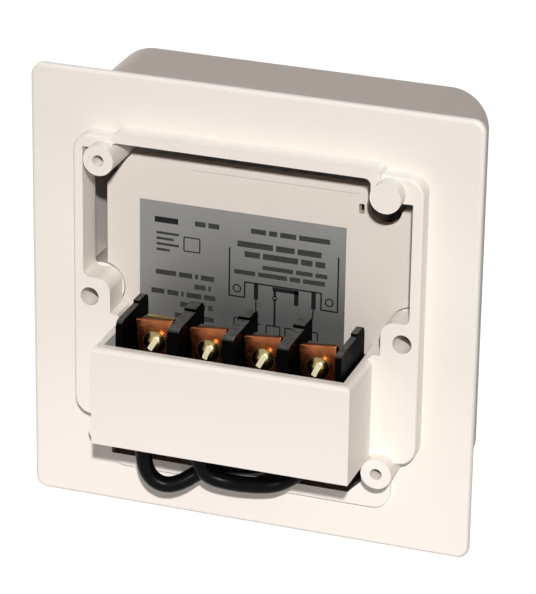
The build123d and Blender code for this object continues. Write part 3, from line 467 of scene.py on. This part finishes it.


# Painted shade: up-facing faces low down, under the trough and in the case, are darkened brown.
hollow_shade_brown = (0.12, 0.08, 0.06)
painted_light_low = (0.94, 0.875, 0.82)
painted_shade_high = (0.755, 0.70, 0.655)
painted_rim_highlight = (0.95, 0.92, 0.88)
cream = moulded("cream_moulding", (0.82, 0.765, 0.712), 0.42, 0.45, 0.006, 0.012)
darken_hollow(cream, -29.0, hollow_shade_brown)
# Painted light and shade: the back face is lighter towards the bottom and darker towards the top.
nodes, links, shader, place = parts_of(cream)
back_face = facing(nodes, links, "Y", 0.8, 0.95)
low_light_share = both_of(nodes, links, back_face, along(nodes, links, place, "Z", -5.0, -34.0))
tint_by(nodes, links, low_light_share, shader, painted_light_low)
high_shade_share = both_of(nodes, links, back_face, along(nodes, links, place, "Z", 14.0, 34.0))
tint_by(nodes, links, high_shade_share, shader, painted_shade_high)
# Painted highlight: faces that look up at the top of the rim are lighter.
top_face = facing(nodes, links, "Z", 0.6, 0.95)
rim_highlight_share = both_of(nodes, links, top_face, along(nodes, links, place, "Z", 25.0, 27.0))
tint_by(nodes, links, rim_highlight_share, shader, painted_rim_highlight)
soft_edged(
    "wall_plate_moulding",
    "wall_plate",
    plate_edge,
    cream,
    "plate_plastic",
    before=round_trough,
)

# Front case. The deep shell behind the plate, in the same cream-white, with painted shade on its
# top and one side. Screws that enter from the front hold it to the plate, with caps over their
# seats.
case_edge = 0.3
cap_edge = 0.08
painted_case_shade = (0.53, 0.47, 0.435)
painted_inner_light = (0.86, 0.80, 0.76)
shell_cream = moulded("shell_moulding", (0.74, 0.695, 0.65), 0.5, 0.5, 0.006, 0.012)
nodes, links, shader, place = parts_of(shell_cream)
shader.inputs["Specular IOR Level"].default_value = 0.2
# Painted shade: faces that look up or to one side are greyer.
tint_by(nodes, links, facing(nodes, links, "Z", 0.1, 0.5), shader, painted_case_shade)
tint_by(nodes, links, facing(nodes, links, "X", -0.2, -0.6), shader, painted_case_shade)
# Painted shade: faces that look up low in the shell are darkened brown.
darken_hollow(shell_cream, -30.0, hollow_shade_brown)
# Painted light: the inner side wall near the window, which lies in shade, is lighter.
left_face = facing(nodes, links, "X", -0.5, -0.9)
inner_side_light = both_of(nodes, links, left_face, along(nodes, links, place, "X", 20.0, 22.0))
tint_by(nodes, links, inner_side_light, shader, painted_inner_light)
soft_edged("front_case_moulding", "front_case", case_edge, shell_cream, "case_plastic")
soft_edged("screw_cap_pair", "screw_caps", cap_edge, cream, "plate_plastic")

# Rear cover. A slightly greyer panel that closes the case behind the window of the plate, with a
# small slot near its corner and a long low rib moulded under its top edge.
rib_left = 12.6
rib_right = -19.4
rib_middle = 25.75
rib_height = 1.3
rib_rise = 0.16
rib_root = 0.3
rib_edge = 0.14
cover_edge = 0.22
panel_back = -2.9
painted_panel_top_shade = (0.50, 0.42, 0.34)
panel_grey = moulded("panel_moulding", (0.655, 0.60, 0.55), 0.48, 0.6, 0.008, 0.02)
rib_grey = panel_grey.copy()
rib_grey.name = "rib_moulding"
nodes, links, shader, place = parts_of(panel_grey)
# Painted shade: faces of the panel that look up, in the gap under the rim, are darker.
tint_by(nodes, links, facing(nodes, links, "Z", 0.3, 0.85), shader, painted_panel_top_shade)
soft_edged("rear_cover_panel", "rear_cover", cover_edge, panel_grey, "cover_plastic")


def block_between(name, low, high):
    """Rectangular block between two corners in millimetres, with its place in its mesh."""
    middle = [(a + b) / 2 * mm for a, b in zip(low, high)]
    size = [(b - a) * mm for a, b in zip(low, high)]
    bpy.ops.object.select_all(action="DESELECT")
    bpy.ops.mesh.primitive_cube_add(size=1, location=middle, scale=size)
    block = bpy.context.object
    block.name = name
    bpy.ops.object.transform_apply(location=True, rotation=True, scale=True)
    return block


rib = block_between(
    "rear_cover_rib",
    (rib_right, panel_back - rib_root, rib_middle - rib_height / 2),
    (rib_left, panel_back + rib_rise, rib_middle + rib_height / 2),
)
break_edges(rib, rib_edge)
finish_piece(rib, rib_grey, "cover_plastic", "housing")

# Rating label. A thin plate of silver foil on the rear cover, printed in black with a plain wiring
# sketch, a few rules and rows of short bars. It is glued flat on the panel.
label_back = -2.78
ink_rise = 0.012
foil_edge = 0.04
foil_dark = (0.21, 0.208, 0.199)
foil_light = (0.27, 0.266, 0.255)
foil_shadow = (0.13, 0.13, 0.127)
foil = bpy.data.materials.new("silver_foil")
nodes, links, shader, place = finish_nodes(foil, (0.22, 0.217, 0.21), 0.5, 0.35)
brushed = noise_of(nodes, links, place, 0.9, 4.0, (1.0, 1.0, 14.0))
shade_between(nodes, links, brushed, foil_dark, foil_light, shader.inputs["Base Color"])
down = along(nodes, links, place, "Z", 21.0, -1.0)
inward = along(nodes, links, place, "X", 24.0, 6.0)
tint_by(nodes, links, both_of(nodes, links, down, inward), shader, foil_shadow)
vary(nodes, links, noise_of(nodes, links, place, 6.0), 0.42, 0.58, shader.inputs["Roughness"])
relief(nodes, links, brushed, 0.004, shader)
soft_edged("rating_label_foil", "rating_label", foil_edge, foil, "label_foil", 2)

printed = bpy.data.materials.new("printed_ink")
nodes, links, shader, place = finish_nodes(printed, (0.006, 0.006, 0.007), 0.55)
shader.inputs["Specular IOR Level"].default_value = 0.12
patchy = noise_of(nodes, links, place, 0.35, 5.0)
ink_dark = (0.003, 0.003, 0.0035)
ink_light = (0.014, 0.014, 0.015)
shade_between(nodes, links, patchy, ink_dark, ink_light, shader.inputs["Base Color"])
vary(nodes, links, patchy, 0.45, 0.65, shader.inputs["Roughness"])

faint = bpy.data.materials.new("small_print_ink")
nodes, links, shader, place = finish_nodes(faint, (0.05, 0.05, 0.05), 0.55)
shader.inputs["Specular IOR Level"].default_value = 0.12
broken = noise_of(nodes, links, place, 0.3, 2.0, (1.6, 1.0, 0.5))
faint_dark = (0.006, 0.006, 0.006)
faint_light = (0.07, 0.07, 0.068)
shade_between(nodes, links, broken, faint_dark, faint_light, shader.inputs["Base Color"])
vary(nodes, links, broken, 0.45, 0.6, shader.inputs["Roughness"])


def stroke(start, end, width):
    """Straight printed stroke between two places on the label."""
    across = end[0] - start[0]
    up = end[1] - start[1]
    length = (across**2 + up**2) ** 0.5
    middle = (
        (start[0] + end[0]) / 2 * mm,
        (label_back + ink_rise) * mm,
        (start[1] + end[1]) / 2 * mm,
    )
    bpy.ops.object.select_all(action="DESELECT")
    bpy.ops.mesh.primitive_plane_add(
        size=1,
        location=middle,
        rotation=(-pi / 2, -atan2(up, across), 0),
    )
    bpy.context.object.scale = (length * mm, width * mm, 1)
    bpy.ops.object.transform_apply(location=True, rotation=True, scale=True)
    return bpy.context.object


def ring(centre, radius, width):
    """Printed circle on the label."""
    place = (centre[0] * mm, (label_back + ink_rise) * mm, centre[1] * mm)
    bpy.ops.object.select_all(action="DESELECT")
    bpy.ops.mesh.primitive_circle_add(
        vertices=32,
        radius=radius * mm,
        fill_type="NGON",
        location=place,
        rotation=(-pi / 2, 0, 0),
    )
    circle = bpy.context.object
    bpy.ops.object.mode_set(mode="EDIT")
    bpy.ops.mesh.select_all(action="SELECT")
    bpy.ops.mesh.inset(thickness=width * mm)
    bpy.ops.mesh.delete(type="ONLY_FACE")
    bpy.ops.object.mode_set(mode="OBJECT")
    bpy.ops.object.transform_apply(location=True, rotation=True, scale=True)
    return circle


def join_pieces(pieces, name):
    """Joins pieces into one object at the origin."""
    bpy.ops.object.select_all(action="DESELECT")
    for piece in pieces:
        piece.select_set(True)
    bpy.context.view_layer.objects.active = pieces[0]
    bpy.ops.object.join()
    joined = bpy.context.object
    joined.name = name
    return joined


sketch_lines = [
    ((5.1, 11.1), (5.1, 1.55), 0.3),
    ((5.2, 1.6), (2.0, 1.6), 0.3),
    ((2.08, 1.6), (2.08, 4.75), 0.3),
    ((2.15, 4.7), (-12.75, 4.7), 0.3),
    ((-12.68, 4.7), (-12.68, 1.4), 0.3),
    ((-12.6, 1.4), (-15.9, 1.4), 0.3),
    ((-15.85, 1.4), (-15.85, 12.2), 0.3),
    ((-0.12, 4.7), (-0.12, 1.55), 0.85),
    ((-0.12, 1.6), (-0.12, -2.6), 0.26),
    ((-11.24, 4.7), (-11.24, 1.3), 0.85),
    ((-11.24, 1.3), (-10.82, -2.6), 0.26),
    ((-3.3, 4.1), (-8.35, 4.1), 0.8),
    ((-7.92, 4.4), (-7.92, 1.45), 0.85),
    ((-3.75, 3.9), (-3.75, 2.5), 0.5),
    ((-3.77, 2.2), (-3.77, -3.2), 0.4),
    ((-2.2, -3.3), (-4.85, -3.3), 0.25),
    ((-2.2, -3.3), (-2.2, -5.8), 0.25),
    ((-4.85, -3.3), (-4.85, -5.8), 0.25),
    ((-5.85, -3.3), (-7.3, -3.3), 0.25),
    ((-5.85, -3.3), (-5.85, -5.8), 0.25),
    ((-0.46, -3.35), (-0.46, -5.6), 0.25),
    ((-0.46, -3.35), (-1.1, -3.35), 0.25),
    ((-10.8, -3.3), (-12.15, -3.3), 0.25),
    ((-12.15, -3.3), (-12.15, -5.6), 0.25),
    ((4.1, -2.7), (3.3, -2.7), 0.25),
    ((4.1, -2.7), (4.1, -4.1), 0.25),
    ((3.3, -2.7), (3.3, -4.1), 0.25),
    ((4.1, -4.1), (3.3, -4.1), 0.25),
    ((19.75, 14.6), (15.15, 14.6), 1.15),
    ((14.0, 11.8), (10.9, 11.8), 0.24),
    ((14.0, 9.05), (10.9, 9.05), 0.24),
    ((14.0, 11.8), (14.0, 9.05), 0.24),
    ((10.9, 11.8), (10.9, 9.05), 0.24),
]
sketch = [stroke(*line) for line in sketch_lines]
sketch.append(ring((3.6, 3.2), 0.85, 0.26))
sketch.append(ring((-14.25, 3.05), 0.85, 0.26))
sketch.append(ring((-3.76, 2.3), 0.5, 0.2))
finish_piece(join_pieces(sketch, "label_wiring_sketch"), printed, "label_foil", "housing")

print_rows = [
    (1.0, 14.95, 1.0, (2.9, 1.6, 3.1, 5.9)),
    (3.6, 12.15, 1.15, (6.9, 3.6, 4.6)),
    (2.2, 10.25, 1.15, (3.0, 6.8, 2.2, 1.9)),
    (-1.3, 8.05, 0.85, (5.9, 3.2, 2.3)),
    (4.2, 6.55, 0.9, (4.1, 5.6, 2.0, 4.2)),
    (19.5, 4.2, 1.0, (4.0, 2.6, 0.6, 2.6)),
    (11.9, 2.2, 1.0, (2.2, 0.5)),
    (20.4, 0.35, 1.0, (2.6, 2.2, 0.5, 2.9, 2.2)),
    (14.7, -1.7, 1.0, (3.9, 0.5, 0.9)),
    (15.8, -4.0, 1.0, (4.6, 2.6)),
    (11.9, 14.75, 1.0, (2.1, 2.1)),
    (19.4, 12.0, 0.5, (4.4,)),
    (19.4, 10.9, 0.5, (3.4,)),
    (19.4, 9.8, 0.5, (4.4,)),
    (19.4, 8.7, 0.5, (2.6,)),
]
word_space = 0.55
rows = []
for left, height, tall, words in print_rows:
    at = left
    for word in words:
        rows.append(stroke((at, height), (at - word, height), tall))
        at -= word + word_space
finish_piece(join_pieces(rows, "label_print_rows"), faint, "label_foil", "housing")

# Terminal block. Black phenolic moulding in the trough, with a barrier each side of every way. The
# faces of the block that look up are lighter grey in patches.
block_edge = 0.22
black_phenolic = bpy.data.materials.new("black_phenolic")
nodes, links, shader, place = finish_nodes(black_phenolic, (0.002, 0.002, 0.002), 0.5)
shader.inputs["Specular IOR Level"].default_value = 0.01
barrier_tops = facing(nodes, links, "Z", 0.55, 0.95)
top_patches = both_of(nodes, links, barrier_tops, noise_of(nodes, links, place, 1.1, 5.0))
phenolic_black = (0.0012, 0.0012, 0.0013)
top_patch_grey = (0.2, 0.195, 0.185)
shade_between(nodes, links, top_patches, phenolic_black, top_patch_grey, shader.inputs["Base Color"])
vary(nodes, links, noise_of(nodes, links, place, 2.2), 0.28, 0.4, shader.inputs["Roughness"])
relief(nodes, links, noise_of(nodes, links, place, 0.4), 0.02, shader)
soft_edged(
    "terminal_block_moulding",
    "terminal_block",
    block_edge,
    black_phenolic,
    "black_moulding",
)

# Terminal straps. Brass strips that stand behind the clamps and carry each way through the block.
# Three are a dark brass, and the fourth has a bright tab that shows above the block.
strap_edge = 0.1
stain_size = 2.4
polish_size = 1.2


def metal(name, dark, light, rough_low, rough_high, grain, depth):
    """Bare or plated metal with a slight wave, patchy tarnish and uneven polish."""
    material = bpy.data.materials.new(name)
    nodes, links, shader, place = finish_nodes(material, light, rough_low, 1.0)
    stain = noise_of(nodes, links, place, stain_size, 4.0)
    shade_between(nodes, links, stain, dark, light, shader.inputs["Base Color"])
    polish = noise_of(nodes, links, place, polish_size, 3.0)
    vary(nodes, links, polish, rough_low, rough_high, shader.inputs["Roughness"])
    relief(nodes, links, noise_of(nodes, links, place, grain), depth, shader)
    return material


brass_dark = (0.60, 0.44, 0.16)
brass_light = (0.88, 0.72, 0.33)
dark_strap_low = (0.035, 0.022, 0.012)
dark_strap_high = (0.12, 0.075, 0.035)
brass = metal("brass_bar", brass_dark, brass_light, 0.22, 0.38, 1.6, 0.015)
dark_strap_brass = metal("dark_strap_brass_bar", dark_strap_low, dark_strap_high, 0.4, 0.55, 1.6, 0.015)
for way, finish in enumerate((dark_strap_brass, dark_strap_brass, dark_strap_brass, brass), 1):
    strap = f"terminal_strap_{way}"
    soft_edged(f"{strap}_brass", strap, strap_edge, finish, "brass", 2)

# Terminal clamps. Square plates under the heads of the screws, plated with copper. Each is turned
# a little in its way, and slides in and out with its screw.
way_places = (-16.49, -6.03, 4.43, 14.89)
screw_height = -4.2
clamp_size = (7.4, 1.2, 8.4)
clamp_outer = 9.4
clamp_edge = 0.28
clamp_lean = radians(5.5)
copper_dark = (0.09, 0.024, 0.011)
copper_light = (0.62, 0.21, 0.082)
copper = metal("copper_plate", copper_dark, copper_light, 0.17, 0.34, 1.9, 0.04)
for way, x in enumerate(way_places, 1):
    half = clamp_size[0] / 2
    clamp = block_between(
        f"terminal_clamp_{way}_plate",
        (x - half, clamp_outer - clamp_size[1], screw_height - clamp_size[2] / 2),
        (x + half, clamp_outer, screw_height + clamp_size[2] / 2),
    )
    bpy.ops.object.mode_set(mode="EDIT")
    bpy.ops.mesh.select_all(action="SELECT")
    bpy.ops.transform.rotate(
        value=-clamp_lean,
        orient_axis="Y",
        center_override=(x * mm, clamp_outer * mm, screw_height * mm),
    )
    bpy.ops.object.mode_set(mode="OBJECT")
    break_edges(clamp, clamp_edge, 4)
    finish_piece(clamp, copper, "copper", f"clamp_{way}", f"terminal_clamp_{way}")

# Terminal screws. Turned brass, with domed heads that have a sawn slot. Each goes through its
# clamp into the block.
head_seat = 9.4
head_radius = 2.3
head_rise = 1.8
dome_radius = 2.55
dome_foot = 0.55
skirt_height = 0.62
shank_radius = 1.35
shank_length = 6.3
shank_overlap = 0.4
slot_width = 1.0
slot_depth = 0.45
slot_overhang = 1.3
screw_edge = 0.07
slot_turns = (114, 118, 112, 120)
painted_slot_highlight = (1.0, 0.95, 0.66)
polished = metal("brass_screw", (0.26, 0.19, 0.075), (0.46, 0.37, 0.18), 0.14, 0.3, 1.2, 0.01)
nodes, links, shader, place = parts_of(polished)
# Painted highlight: the floor of each slot is a pale yellow and less metallic, where it catches
# the lamp.
slot_bottom = head_seat + head_rise - slot_depth
slot_floor = along(nodes, links, place, "Y", slot_bottom + 0.1, slot_bottom)
above_skirt = along(nodes, links, place, "Y", head_seat + 0.9, head_seat + 1.0)
slot_floor = both_of(nodes, links, slot_floor, above_skirt)
slot_floor = both_of(nodes, links, slot_floor, facing(nodes, links, "Y", 0.95, 0.99))
tint_by(nodes, links, slot_floor, shader, painted_slot_highlight)
vary(nodes, links, slot_floor, 1.0, 0.2, shader.inputs["Metallic"])


def round_bar(name, centre, radius, start, end, vertices=48):
    """Round bar along the depth axis, between two distances behind the wall face."""
    bpy.ops.object.select_all(action="DESELECT")
    bpy.ops.mesh.primitive_cylinder_add(
        vertices=vertices,
        radius=radius * mm,
        depth=(end - start) * mm,
        location=(centre[0] * mm, (start + end) / 2 * mm, centre[1] * mm),
        rotation=(pi / 2, 0, 0),
    )
    bar = bpy.context.object
    bar.name = name
    bpy.ops.object.transform_apply(location=True, rotation=True, scale=True)
    return bar


def cut_away(piece, tool):
    """Cuts one piece out of another and removes the tool."""
    show_only(piece)
    cut = piece.modifiers.new("cut", "BOOLEAN")
    cut.operation = "DIFFERENCE"
    cut.solver = "EXACT"
    cut.object = tool
    bpy.ops.object.modifier_apply(modifier=cut.name)
    bpy.data.objects.remove(tool, do_unlink=True)


for way, x in enumerate(way_places, 1):
    shank = round_bar(
        "shank",
        (x, screw_height),
        shank_radius,
        head_seat - shank_length,
        head_seat + shank_overlap,
    )
    bpy.ops.object.select_all(action="DESELECT")
    bpy.ops.mesh.primitive_uv_sphere_add(
        segments=48,
        ring_count=24,
        radius=dome_radius * mm,
        location=(x * mm, (head_seat + head_rise - dome_radius) * mm, screw_height * mm),
        rotation=(pi / 2, 0, 0),
    )
    dome = bpy.context.object
    bpy.ops.object.transform_apply(location=True, rotation=True, scale=True)
    bpy.ops.object.mode_set(mode="EDIT")
    bpy.ops.mesh.select_all(action="SELECT")
    bpy.ops.mesh.bisect(
        plane_co=(0, (head_seat + dome_foot) * mm, 0),
        plane_no=(0, -1, 0),
        clear_outer=True,
        use_fill=True,
    )
    bpy.ops.object.mode_set(mode="OBJECT")
    slot_bar = block_between(
        "slot_bar",
        (-head_radius * slot_overhang, slot_bottom, -slot_width / 2),
        (head_radius * slot_overhang, head_seat + head_rise + 1, slot_width / 2),
    )
    slot_bar.rotation_euler = (0, -radians(slot_turns[way - 1]), 0)
    slot_bar.location = (x * mm, 0, screw_height * mm)
    bpy.ops.object.transform_apply(location=True, rotation=True, scale=True)
    skirt = round_bar(
        "skirt",
        (x, screw_height),
        head_radius,
        head_seat,
        head_seat + skirt_height,
    )
    cut_away(dome, slot_bar)
    screw = join_pieces([dome, skirt, shank], f"terminal_screw_{way}_brass")
    break_edges(screw, screw_edge, 2, 40)
    finish_piece(screw, polished, "brass", f"screw_{way}", f"terminal_screw_{way}")

# Chassis and motor. A white plate behind the dial carries a small synchronous motor in a steel
# can, its wound coil and magnet, and the reduction's last pinion.


def dress(material, *names):
    """Gives CAD pieces that keep their own shape a finish."""
    for name in names:
        for slot in frame["nodes"][name].material_slots:
            slot.material = material


chassis_edge = 0.15
chassis_white = moulded("chassis_moulding", (0.70, 0.68, 0.64), 0.45, 0.6, 0.008, 0.02)
plated_steel = metal("plated_steel", (0.42, 0.42, 0.41), (0.66, 0.66, 0.64), 0.25, 0.42, 1.1, 0.01)
magnet_black = moulded("magnet_ferrite", (0.045, 0.045, 0.05), 0.55, 0.3, 0.02, 0.3)
wire_dark = (0.3, 0.09, 0.03)
wire_light = (0.68, 0.27, 0.11)
coil_wire = bpy.data.materials.new("coil_wire")
nodes, links, shader, place = finish_nodes(coil_wire, (0.55, 0.2, 0.08), 0.35, 0.8)
turns = nodes.new("ShaderNodeTexWave")
turns.bands_direction = "Y"
turns.inputs["Scale"].default_value = 700.0
turns.inputs["Distortion"].default_value = 0.6
links.new(place, turns.inputs["Vector"])
shade_between(
    nodes,
    links,
    turns.outputs["Fac"],
    wire_dark,
    wire_light,
    shader.inputs["Base Color"],
)
relief(nodes, links, turns.outputs["Fac"], 0.08, shader)
soft_edged("chassis_moulding_plate", "chassis", chassis_edge, chassis_white, "cover_plastic", 2)
dress(plated_steel, "motor_can", "motor_cover", "motor_screws", "case_screws", "chassis_screws")
dress(plated_steel, "module_screws", "idler_stud", "lever_pin", "dial_clip", "clutch_spring")
dress(plated_steel, "dial_arbor", "slider_spring")
dress(coil_wire, "motor_coil")
dress(magnet_black, "motor_rotor")
dress(brass, "dial_bush", "motor_pinion", "lead_tags", "switch_terminals", "switch_blade")

# Gears, trip lever and switch. Natural acetal wheels and lever, and a snap switch in a black case
# that the lever works through its plunger.
acetal = moulded("acetal", (0.72, 0.70, 0.64), 0.33, 0.5, 0.004, 0.02)
dress(acetal, "dial_gear", "idler_gear", "trip_lever", "switch_plunger")
dress(black_phenolic, "switch_case", "switch_cover")

# Dial. A white disc with the hours printed round it and a stroke for each half hour, inside the
# ring of blue setting pins. A fluted dark knob on its arbor turns it by hand.
dial_centre = (0.0, 5.0)
dial_face = -27.5
hour_reach = 17.4
hour_size = 2.7
stroke_start = 19.6
stroke_end = 20.9
stroke_middle = dial_centre[1] + (stroke_start + stroke_end) / 2
stroke_width = 0.28
half_hour_count = 48
dial_edge = 0.12
knob_edge = 0.18
pointer_edge = 0.1
pin_edge = 0.15
dial_white = moulded("dial_moulding", (0.80, 0.785, 0.75), 0.36, 0.5, 0.004, 0.012)
knob_black = moulded("knob_moulding", (0.03, 0.03, 0.032), 0.4, 0.4, 0.015, 0.25)
pin_blue = moulded("pin_moulding", (0.02, 0.07, 0.34), 0.35, 0.4, 0.006, 0.06)
soft_edged("timing_dial_disc", "timing_dial", dial_edge, dial_white, "dial_plastic", 2)
soft_edged("dial_knob_grip", "dial_knob", knob_edge, knob_black, "knob_plastic", 3)
soft_edged("time_pointer_mark", "time_pointer", pointer_edge, knob_black, "knob_plastic", 2)
for group in range(1, 7):
    pins = f"setting_pins_{group}"
    soft_edged(f"{pins}_row", pins, pin_edge, pin_blue, "pin_plastic", 2)


def printed_word(text, place, size, turn=0.0, face=dial_face):
    """Printed figure on a face seen from the front, turned about its own middle."""
    bpy.ops.object.select_all(action="DESELECT")
    bpy.ops.object.text_add(location=(place[0] * mm, (face - ink_rise) * mm, place[1] * mm))
    word = bpy.context.object
    word.data.body = text
    word.data.size = size * mm
    word.data.align_x = "CENTER"
    word.data.align_y = "CENTER"
    word.data.resolution_u = 4
    word.rotation_euler = (pi / 2, turn, 0)
    bpy.ops.object.convert(target="MESH")
    bpy.ops.object.transform_apply(location=True, rotation=True, scale=True)
    return bpy.context.object


figures = []
for hour in range(24):
    angle = radians(90 - 15 * hour)
    spot = (dial_centre[0] + hour_reach * cos(angle), dial_centre[1] + hour_reach * sin(angle))
    figures.append(printed_word(str(hour), spot, hour_size, radians(15 * hour)))
hours = join_pieces(figures, "dial_hours")
finish_piece(hours, printed, "dial_plastic", "dial")

bpy.ops.object.select_all(action="DESELECT")
bpy.ops.mesh.primitive_plane_add(
    size=1,
    location=(dial_centre[0] * mm, (dial_face - ink_rise) * mm, stroke_middle * mm),
    rotation=(pi / 2, 0, 0),
)
half_hours = bpy.context.object
half_hours.name = "dial_half_hours"
half_hours.scale = (stroke_width * mm, (stroke_end - stroke_start) * mm, 1)
bpy.ops.object.transform_apply(location=True, rotation=True, scale=True)
bpy.ops.object.mode_set(mode="EDIT")
bpy.ops.mesh.select_all(action="SELECT")
bpy.ops.mesh.spin(
    steps=half_hour_count,
    dupli=True,
    angle=2 * pi,
    center=(dial_centre[0] * mm, 0, dial_centre[1] * mm),
    axis=(0, 1, 0),
)
bpy.ops.mesh.select_all(action="SELECT")
bpy.ops.mesh.remove_doubles(threshold=0.001 * mm)
bpy.ops.object.mode_set(mode="OBJECT")
finish_piece(half_hours, printed, "dial_plastic", "dial")

# Override slider and lamp. A red slider below the dial sets the switch on, off or timed, and a
# neon behind a domed clear lens shows that the output is live.
slider_place = (10.0, -29.0)
mark_offset = 8.4
mark_size = 3.0
slider_edge = 0.12
case_face = -28.5
slider_red = moulded("slider_moulding", (0.46, 0.03, 0.028), 0.38, 0.4, 0.008, 0.08)
soft_edged("override_slider_knob", "override_slider", slider_edge, slider_red, "slider_plastic", 2)
marks = [
    printed_word("O", (slider_place[0] - mark_offset, slider_place[1]), mark_size, 0.0, case_face),
    printed_word("I", (slider_place[0] + mark_offset, slider_place[1]), mark_size, 0.0, case_face),
]
finish_piece(join_pieces(marks, "override_marks"), printed, "case_plastic", "housing")

lens_red = bpy.data.materials.new("lens_red")
nodes, links, shader, place = finish_nodes(lens_red, (0.75, 0.07, 0.04), 0.12)
shader.inputs["Transmission Weight"].default_value = 0.85
shader.inputs["IOR"].default_value = 1.49
milky = noise_of(nodes, links, place, 1.4, 3.0)
lens_deep = (0.62, 0.04, 0.025)
lens_pale = (0.86, 0.12, 0.07)
shade_between(nodes, links, milky, lens_deep, lens_pale, shader.inputs["Base Color"])
vary(nodes, links, milky, 0.08, 0.2, shader.inputs["Roughness"])
lamp_glass = bpy.data.materials.new("lamp_glass")
nodes, links, shader, place = finish_nodes(lamp_glass, (0.9, 0.6, 0.45), 0.06)
shader.inputs["Transmission Weight"].default_value = 0.9
vary(nodes, links, noise_of(nodes, links, place, 1.0), 0.03, 0.12, shader.inputs["Roughness"])
dress(lens_red, "neon_lens")
dress(lamp_glass, "neon_lamp")
